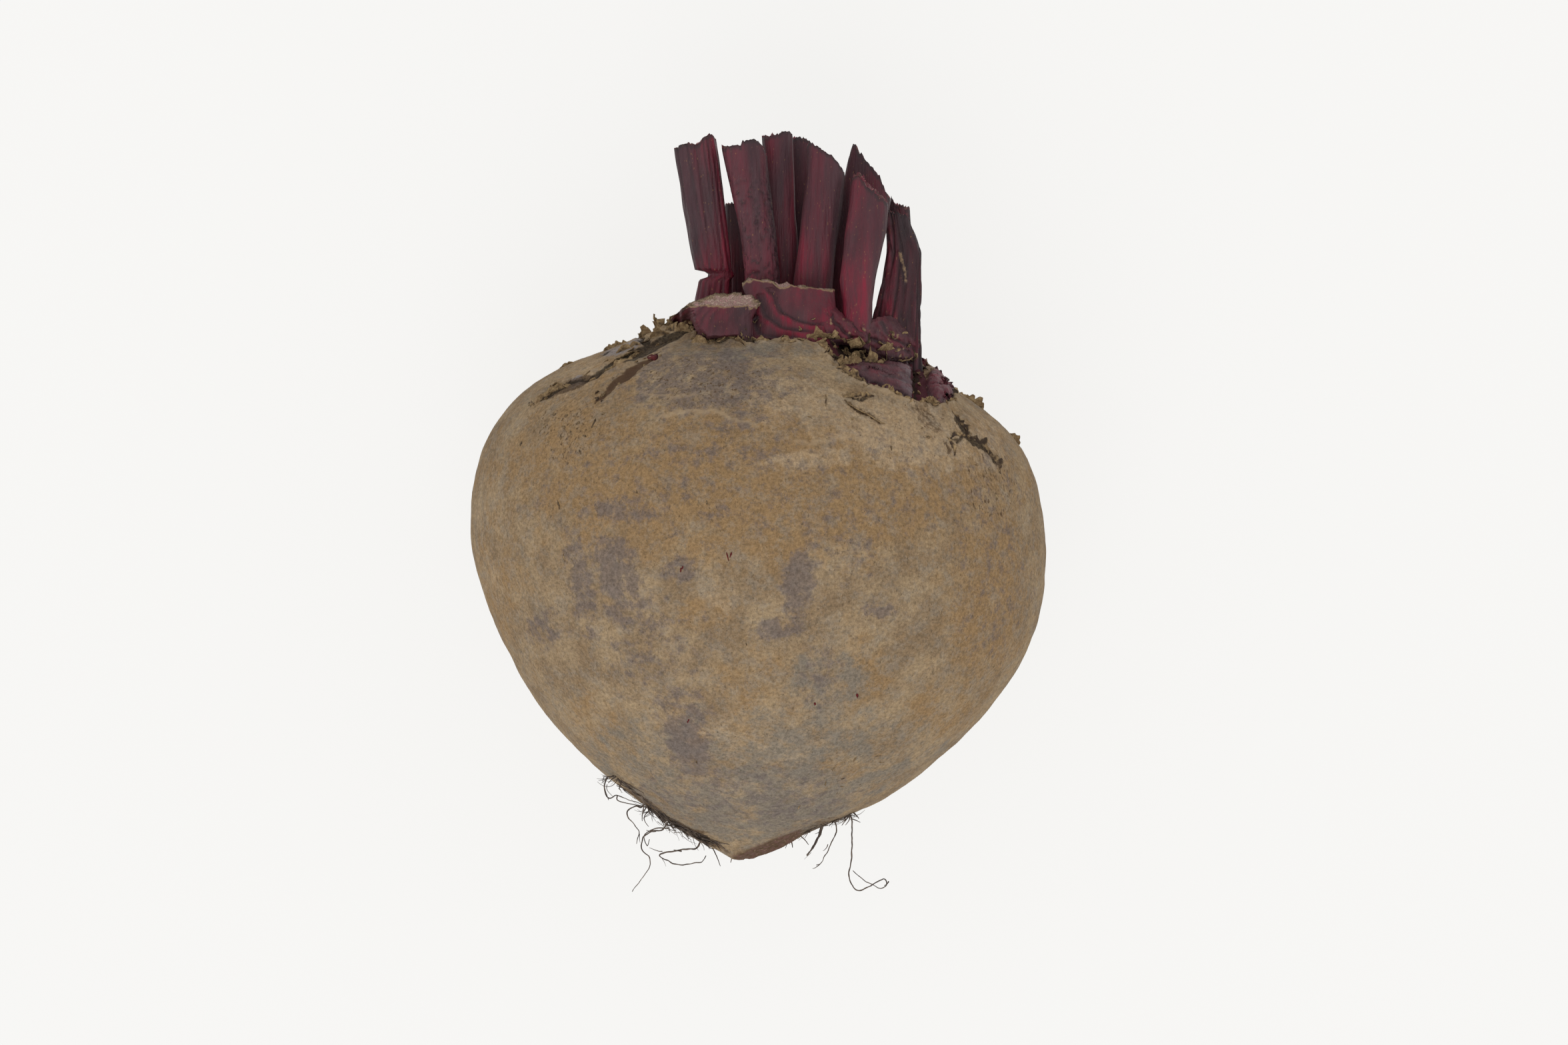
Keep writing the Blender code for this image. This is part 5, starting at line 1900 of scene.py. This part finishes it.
@dataclass
class TornSkin:
    """The torn skin where the cork ends round the crown and along the shoulder's cracks, and small chips.

    The cracks list a seam's number, and its flakes' count, size, tone and distance from it.
    """

    flakes: tuple[Flake, ...] = (
        Flake(((-16.4, 40.2), (-14.6, 39.9), (-12.8, 39.9), (-11, 39.6)), 2.1, 0.5, 0.7, 0.3, 0, 4),
        Flake(((-12.7, 40.6), (-12.1, 40.8), (-11.5, 40.6)), 1.6, 0.9, 0.1, 0.3, 0.5, 1.3),
        Flake(((-11.8, 37.9), (-10.4, 37.9), (-9, 37.8)), 2.2, 0.8, 0.5, 0.15, 0, 2.5),
        Flake(((8.3, 38.7), (10.4, 38.8), (12.4, 38.6), (14.4, 38.5)), 2.2, 0.95, 0.2, 0.25, 0, 3),
        Flake(((14.2, 33.9), (15.8, 34.3), (17.6, 34.2)), 2.2, 0.8, 0.4, 0.15, 0, 3),
        Flake(((17.9, 34.6), (18.9, 34.4), (20.2, 34.6)), 3.4, 1.1, 0.3, 0.25, 0, 1.6),
        Flake(((20.2, 36.8), (21.6, 36.6), (23.2, 36.9)), 1.9, 0.9, 0.5, 0.1, 0, 1.6),
        Flake(((23.8, 35), (24.9, 35), (26.2, 35.1)), 1.7, 0.9, 0.2, 0.1, 0, 1.3),
        Flake(((16, 37.6), (16.4, 37.6), (16.8, 37.4)), 4, 1.1, 0.1, 0.2, 0, 1.5),
        Flake(((-4.4, 38.4), (-3.4, 38), (-2.4, 37.2)), 1.1, 0.9, 0.5, 0.35, 0, 2),
        Flake(((-18.9, 38.7), (-17.4, 39.2), (-15.6, 39.6)), 1.3, 0.7, 0.9, 0.45),
        Flake(((-24.8, 36.2), (-22.6, 37), (-20.6, 37.6)), 1, 0.5, 0.9, 0.35),
    )
    spikes: tuple[tuple[float, float, float, float], ...] = (
        (-20, 39.4, 3, 1.9), (-17.3, 40.6, 2.4, 2.2), (-25, 37.3, 4.4, 0.8), (-15.2, 41.5, 2, 1.4),
        (36.2, 27.4, 5, 1.5), (43.3, 20.9, 2.6, 0.9), (-33, 33.2, 2.6, 0.4), (31.4, 31.6, 2.6, 0.8),
    )
    chips: tuple[Patch, ...] = patches(
        (-8.9, 10.4, 0.16, 0.4, 10), (13.9, 7.6, 0.16, 0.5), (-34.2, 10.1, 0.18, 0.9, 12),
        (-33.3, 1, 0.16, 1, 10), (-39.3, 27.5, 0.55, 0.6, -40), (-27.8, 28.2, 0.5, 0.4, 35),
        (-26.8, 28.8, 0.55, 0.3, 35), (-35.2, 25.6, 0.4, 0.28), (-33, 25.3, 0.4, 0.25, 20),
        (-33.4, 23.3, 0.3, 0.4), (-32.2, 22.4, 0.26, 0.55, 20), (-28.3, 23.9, 0.18, 1, -24),
        (-40.9, 20.6, 0.2, 0.45, -10), (-36, 20.8, 0.25, 0.25), (12.7, -35, 0.16, 0.65, -35),
        (16.3, -33.5, 0.16, 0.65, -35), (20.2, -33, 0.55, 0.14), (20.9, -34.1, 0.55, 0.12, 5),
        (11.3, -37.6, 0.16, 0.55, -10), (14.2, -36.9, 0.45, 0.13, 10), (14.2, -38.3, 0.45, 0.12),
        (6.7, -42, 0.16, 0.55, -30), (-10.8, -33.9, 0.15, 0.4, 15), (28.7, 21.6, 0.4, 0.32),
        (27.7, 23.2, 0.3, 0.2, 30), (15.8, 24.7, 0.4, 0.2, 20), (11.3, 27.8, 0.18, 1),
        (8.5, 25, 0.6, 0.16, -20), (-31, 24, 0.5, 0.24, 30), (-34, 21.6, 0.24, 0.44, 10),
        (-29.8, 21.8, 0.36, 0.2, -15), (-36.8, 23.4, 0.34, 0.22, 40), (-30.6, 19, 0.2, 0.6, 12),
        (-26.6, 25.6, 0.44, 0.18, 30), (22.4, 19.8, 0.22, 0.5, 10), (18.8, 14.6, 0.16, 0.4),
        (36.6, 9.8, 0.22, 0.55, 15), (40.6, 11.6, 0.2, 0.7, 12), (34.2, 13.8, 0.3, 0.2, 20),
        (-20.8, 12.2, 0.15, 0.4, 10), (4.4, 14.2, 0.14, 0.36), (-2.2, -13.6, 0.14, 0.4, 15),
    )
    litter: tuple[Point, ...] = (
        (12.6, 37.6, 1.6), (14.6, 36.4, 2), (15.4, 38.2, 1.6), (17.2, 36, 1.9), (18.4, 38.6, 1.8),
        (19.4, 36.2, 1.7), (20.9, 37.8, 1.8), (22, 36, 1.6), (22.6, 39.4, 1.4), (23.6, 37.2, 1.9),
        (25, 39.6, 1.2), (25.8, 37.4, 1.7), (26.8, 35.6, 1.4), (27.2, 38.6, 1), (29.6, 33.4, 1.2),
        (13, 35.2, 1.4), (16, 34.4, 1.5), (21.2, 34.8, 1.2), (-1, 41.6, 1), (6.8, 40, 1.2), (9.2, 42.2, 1.2),
        (-9.6, 39.4, 1.2), (4.2, 38.8, 1.1), (-13.8, 41.2, 1.6),
    )
    red_chips: tuple[Patch, ...] = patches(
        (-5.4, 1.4, 0.18, 0.85, 14), (-4.8, 1.6, 0.17, 0.7, -20), (-13.3, -1, 0.18, 0.45),
        (-18.5, 35.3, 1.2, 0.7, 25), (16.6, -22.4, 0.24, 0.5), (9.4, -23.8, 0.18, 0.34),
        (-12.2, -26.8, 0.18, 0.5, -20), (-13, -0.6, 0.2, 0.3, 20),
    )

    cracks: tuple[tuple[int, int, float, float, float], ...] = (
        (0, 5, 1.6, 0.2, 2.3), (1, 3, 1.2, 0.3, 1), (2, 4, 1.2, 0.45, 1.4), (6, 12, 1.8, 0.3, 1.6),
        (7, 7, 1.4, 0.4, 0.9), (9, 3, 0.8, 0.55, 0.9), (14, 3, 0.9, 0.3, 0.5),
    )

    def build(self, root: Root, finishes: Finishes) -> None:
        """Makes the torn skin.

        Args:
            root: the root that it grows from.
            finishes: the materials.
        """
        curls = Curls(root, 77)
        self.ring_crown(curls, root)
        self.line_cracks(curls, root)
        self.strew(curls, root)
        for flake in self.flakes:
            curls.one(flake)
        for x, y, long, tall in self.spikes:
            at, out = root.foot(np.array((x, y, root.middle[2] + 1.5)))
            ahead = unit(np.array((out[1], -out[0], 0.0))) * long * 0.5
            spike = Flake((), tall, stand=1.0, curl=0.4, tone=0.2, jag=1.9)
            curls.add(np.array([at - ahead, at, at + ahead]), spike, 0.1)
        for chips, red in ((self.chips, 0.0), (self.red_chips, 1.0)):
            for spot in chips:
                curls.chip(spot, red)
        curls.shape.make("torn_skin", [finishes.papery], "dry_scale")

    @staticmethod
    def ring_crown(curls: Curls, root: Root) -> None:
        """Lines the cork's edge all round the crown.

        Args:
            curls: gets the flakes.
            root: the root.
        """
        front = root.on_skin(CROWN_FRONT, 6)
        curls.scatter(front, False, 44, size=2.9, tone=0.42, stand=0.5)
        curls.scatter(front, True, 14, size=1.8, tone=0.4, stand=0.3)
        turns = np.radians(np.arange(182, 360, 4))
        edge = follow(root.crown_back, np.degrees(turns))
        x, z = root.crown[0] + edge * np.cos(turns), root.crown[1] + edge * np.sin(turns)
        back = root.feet(np.stack([x, np.full_like(x, 40), z], axis=1))[0]
        curls.scatter(back, False, 40, size=2.0, tone=0.3, stand=0.8)

    def line_cracks(self, curls: Curls, root: Root) -> None:
        """Lines both sides of the shoulder's cracks.

        Args:
            curls: gets the flakes.
            root: the root.
        """
        for seam, count, size, tone, aside in self.cracks:
            path = root.on_skin(root.seams[seam].points, 5)
            curls.scatter(path, False, count, size, tone, stand=0.5, aside=aside)
            curls.scatter(path, True, count, size * 0.8, tone + 0.1, stand=0.4, aside=aside)

    def strew(self, curls: Curls, root: Root) -> None:
        """Strews crumbs of skin round the crown.

        Args:
            curls: gets the crumbs.
            root: the root.
        """
        for x, y, long in self.litter:
            at = root.below(x, y)
            ahead = unit(curls.rng.normal(0, 1, 3)) * long * 0.5
            tone = float(curls.rng.uniform(0.2, 1.0))
            curl = curls.rng.uniform(0.2, 1.4)
            flake = Flake((), long * 0.45, stand=0.35, curl=curl, tone=tone, blunt=2.0)
            curls.add(np.array([at - ahead * 1.5, at, at + ahead * 1.5]), flake, 0.12)


# ---- Rootlets ----
@dataclass
class Rootlet:
    """A rootlet and the fine strands about it. A height of None puts a point on the skin below."""

    node: str
    radius: float
    points: tuple[tuple[float, float, float | None], ...]
    strands: int = 4
    reach: float = 4.0
    spread: float = 0.5
    seed: int = 1
    wander: float = 0.28
    extras: tuple[tuple[Point, ...], ...] = ()
    step: float = 0.35

    def build(self, root: Root, finishes: Finishes) -> None:
        """Makes the rootlet.

        Args:
            root: the root that it grows from.
            finishes: the materials.
        """
        rng = np.random.default_rng(500 + self.seed)
        grain = Grain(500 + self.seed)
        route = np.array([(x, y, root.below(x, y)[2] + 0.1 if z is None else z) for x, y, z in self.points])
        at, out = root.foot(route[0])
        route = np.vstack([at - out * 0.5, route])
        path = along_curve(route, 14 * len(route))
        path = path + self.wander * grain.sway(path, 1.3, 30)
        share = np.linspace(0, 1, len(path))
        radii = self.radius * (1 - 0.55 * share) * (1 + 0.3 * grain.at(path, 0.7))
        shape = Shape()
        shape.add_tube(path, radii, 8)
        for extra in self.extras:
            fine = along_curve(np.array(extra), 12 * len(extra))
            shape.add_tube(fine, 0.12 * np.linspace(1, 0.5, len(fine)), 6)
        for _ in range(self.strands):
            self.add_strand(shape, root, path, rng)
        shape.make(self.node + "_body", [finishes.rootlet], "rootlet_skin", self.node)

    def add_strand(self, shape: Shape, root: Root, path: Array, rng: np.random.Generator) -> None:
        """Adds one fine strand that starts near the rootlet.

        Args:
            shape: the rootlet's shape.
            root: the root.
            path: the rootlet's path.
            rng: sets where and how it grows.
        """
        n = rng.integers(0, len(path) - 2)
        at = path[n] + rng.normal(0, self.spread, 3)
        ahead = unit(unit(path[n + 1] - path[n]) + rng.normal(0, 0.22, 3))
        bend = rng.normal(0, 0.08, 3)
        points = []
        for _ in range(max(6, int(self.reach * rng.uniform(0.3, 1.3) / self.step))):
            foot, out = root.foot(at)
            gap = (at - foot) @ out
            ahead = unit(ahead - out * 0.25 * (ahead @ out) * (gap > 0.5))
            if gap < 0.06:
                at = at + out * (0.06 - gap)
                ahead = unit(ahead - out * min(0.0, ahead @ out))
            points.append(at)
            bend = bend * 0.92 + rng.normal(0, 0.06, 3)
            ahead = unit(ahead + bend)
            at = at + ahead * self.step
        strand = np.array(points)
        thick = 0.045 + 0.13 * rng.uniform() ** 2
        shape.add_tube(strand, thick * np.linspace(1, 0.4, len(strand)), 5)


ROOTLETS = (
    Rootlet("rootlet_left_curl", 0.15,
            ((-20.6, -42.4, 45.5), (-21.6, -42.2, 45.8), (-22.9, -43, 46), (-22.8, -44.2, 46.2),
             (-21.8, -45.3, 46.4), (-21, -46.6, 46.4), (-21.4, -48.6, 46.4)), 1, 2, 0.2, 1, 0.1),
    Rootlet("rootlet_left_long", 0.14,
            ((-16.9, -46.3, 42), (-18.8, -46.6, 42), (-20.3, -47.7, 42.2), (-20.5, -49.9, 42.6),
             (-19.3, -51, 43), (-19.2, -52.6, 43.2), (-20, -54, 43), (-22.2, -57.1, 42.6)), 1, 2, 0.2, 2,
            0.12,
            (((-15.8, -46.1, 43), (-18.1, -46.1, 43), (-20.1, -47.3, 43), (-19.6, -49.1, 43.2),
              (-19.2, -48, 43.2)),)),
    Rootlet("rootlet_left_loop", 0.16,
            ((-11, -49.4, 45.4), (-12.9, -49.7, 45.8), (-16.6, -50.2, 46), (-17.3, -50.9, 45.8),
             (-14.8, -52.2, 45), (-12.6, -52.3, 44), (-10.1, -51.9, 43.2), (-9.4, -50.9, 42.6)), 3, 2.5, 0.3,
            3, 0.15,
            (((-8.4, -49.1, 43.6), (-7.5, -51, 43.6), (-6.9, -52.6, 43.8)),
             ((-4.8, -50.9, 43.6), (-5.1, -52, 43.6)))),
    Rootlet("rootlet_left_edge", 0.13,
            ((-26.3, -36.8, 44), (-27, -38.9, 44.2), (-26.3, -40.9, 44.4), (-24.8, -40.3, 44.6),
             (-22.4, -41.2, 44.8), (-19.8, -42, 45)), 5, 2.6, 0.4, 4, 0.15,
            (((-24.8, -40.3, 44.6), (-24.5, -41.3, 44.6), (-21, -42.1, 44.8), (-19.2, -42.6, 45)),
             ((-26.4, -36.8, 44.6), (-27, -38.7, 44.6), (-26.3, -41.1, 44.6)))),
    Rootlet("rootlet_mat_high", 0.14,
            ((-24.2, -37.4, None), (-21.2, -39.8, None), (-18, -42.4, None), (-14.8, -44.8, None),
             (-11.4, -46.6, None)), 70, 4, 0.55, 5),
    Rootlet("rootlet_mat_low", 0.14,
            ((-19, -42.4, None), (-16.4, -44.4, None), (-13.4, -46.2, None), (-10.4, -47.6, None),
             (-7.4, -48.4, None)), 80, 4.2, 0.5, 6),
    Rootlet("rootlet_right_long", 0.15,
            ((15.9, -44.4, 42), (16, -46.6, 42), (15.9, -51.4, 42), (15.4, -54.5, 42), (16.8, -56.9, 42),
             (18.9, -56.2, 42.2), (21.4, -54.9, 43), (22, -55.8, 44), (20.8, -56.4, 44.6),
             (18.4, -55.2, 44.8), (16.2, -53.4, 44.8)), 1, 2, 0.2, 7, 0.12),
    Rootlet("rootlet_right_short", 0.13,
            ((13.3, -46, 43.6), (12.1, -49.2, 43.8), (10.6, -52, 44), (9.8, -52.5, 44)), 2, 2, 0.3, 8, 0.12),
    Rootlet("rootlet_right_blade", 0.34, ((10.8, -45.6, 46.4), (9.8, -48.2, 46.8), (8.2, -50.6, 47)), 2, 2,
            0.3, 9, 0.15, (((6.8, -47.1, 47), (7.8, -48, 47), (8.4, -48.8, 47)),)),
    Rootlet("rootlet_tuft_right", 0.14,
            ((15.6, -43.4, None), (13.2, -44.4, None), (10.6, -45.4, None), (8, -46.4, None)), 40, 2.6, 0.45,
            10),
    Rootlet("rootlet_back_left", 0.15,
            ((-8.6, -48.2, 36.8), (-9.4, -47.2, 34.8), (-11, -45.6, 32.2), (-12.4, -43.4, 29.4)), 8, 2.2, 0.4,
            11),
    Rootlet("rootlet_back_right", 0.15,
            ((5.2, -48.2, 37.2), (6.8, -47, 34.8), (9.4, -45.2, 32.2), (12.4, -43.4, 29.8)), 8, 2.2, 0.4, 12),
)


# ---- The studio ----
@dataclass
class Studio:
    """The plain floor, the soft light and the camera that looks straight down."""

    aim: Point = (4.16, 7.05, 46.0)
    view_width: float = 271.9
    lens: float = 250.0
    sensor: float = 36.0
    sky: float = 0.80
    key: float = 12.0
    key_size: float = 1.2
    key_at: Point = (-0.20, -0.95, 1.7)
    floor_glow: float = 0.81
    floor_tint: Colour = (1.0, 0.992, 0.972)
    floor_colour: Colour = (0.12, 0.12, 0.12)
    floor_half: float = 3.0

    def build(self) -> None:
        """Makes the floor, the lights and the camera."""
        scene = bpy.context.scene
        scene.view_settings.view_transform = "Standard"
        world = bpy.data.worlds.new("studio_air")
        world.use_nodes = True
        world.node_tree.nodes["Background"].inputs[0].default_value = (1.0, 1.0, 1.0, 1.0)
        world.node_tree.nodes["Background"].inputs[1].default_value = self.sky
        scene.world = world
        half = self.floor_half
        mesh = bpy.data.meshes.new("studio_floor")
        corners = [(-half, -half, 0), (half, -half, 0), (half, half, 0), (-half, half, 0)]
        mesh.from_pydata(corners, [], [(0, 1, 2, 3)])
        paper = bpy.data.materials.new("studio_paper")
        paper.use_nodes = True
        facts = {"Base Color": (*self.floor_colour, 1.0), "Emission Color": (*self.floor_tint, 1.0),
                 "Emission Strength": self.floor_glow, "Roughness": 0.9, "Specular IOR Level": 0.0}
        for name, value in facts.items():
            paper.node_tree.nodes["Principled BSDF"].inputs[name].default_value = value
        mesh.materials.append(paper)
        floor = bpy.data.objects.new("studio_floor", mesh)
        lamp = bpy.data.lights.new("soft_key", "AREA")
        lamp.energy, lamp.size = self.key, self.key_size
        key = bpy.data.objects.new("soft_key", lamp)
        key.location = self.key_at
        key.rotation_euler = Vector(self.key_at).to_track_quat("Z", "Y").to_euler()
        eye = bpy.data.cameras.new("camera")
        eye.lens, eye.sensor_width = self.lens, self.sensor
        camera = bpy.data.objects.new("camera", eye)
        away = self.view_width * self.lens / self.sensor
        camera.location = Vector((self.aim[0], self.aim[1], self.aim[2] + away)) * MM
        for thing in (floor, key, camera):
            scene.collection.objects.link(thing)
        scene.camera = camera


def main() -> None:
    """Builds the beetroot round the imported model, and the studio about it."""
    logging.basicConfig(level=logging.INFO, format="%(name)s: %(message)s")
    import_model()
    finishes = Finishes()
    root = Root()
    root.build(finishes)
    stalks = [stalk.build(root, finishes) for stalk in STALKS]
    feet = [shape for stalk, shape in zip(STALKS, stalks) if stalk.hemmed]
    root.stand_on([*root.ground, *feet, Collar().build(finishes)])
    for part in (*PATCHES, *SCALES, TornSkin(), *ROOTLETS):
        part.build(root, finishes)
    Studio().build()


if __name__ == "__main__":
    main()
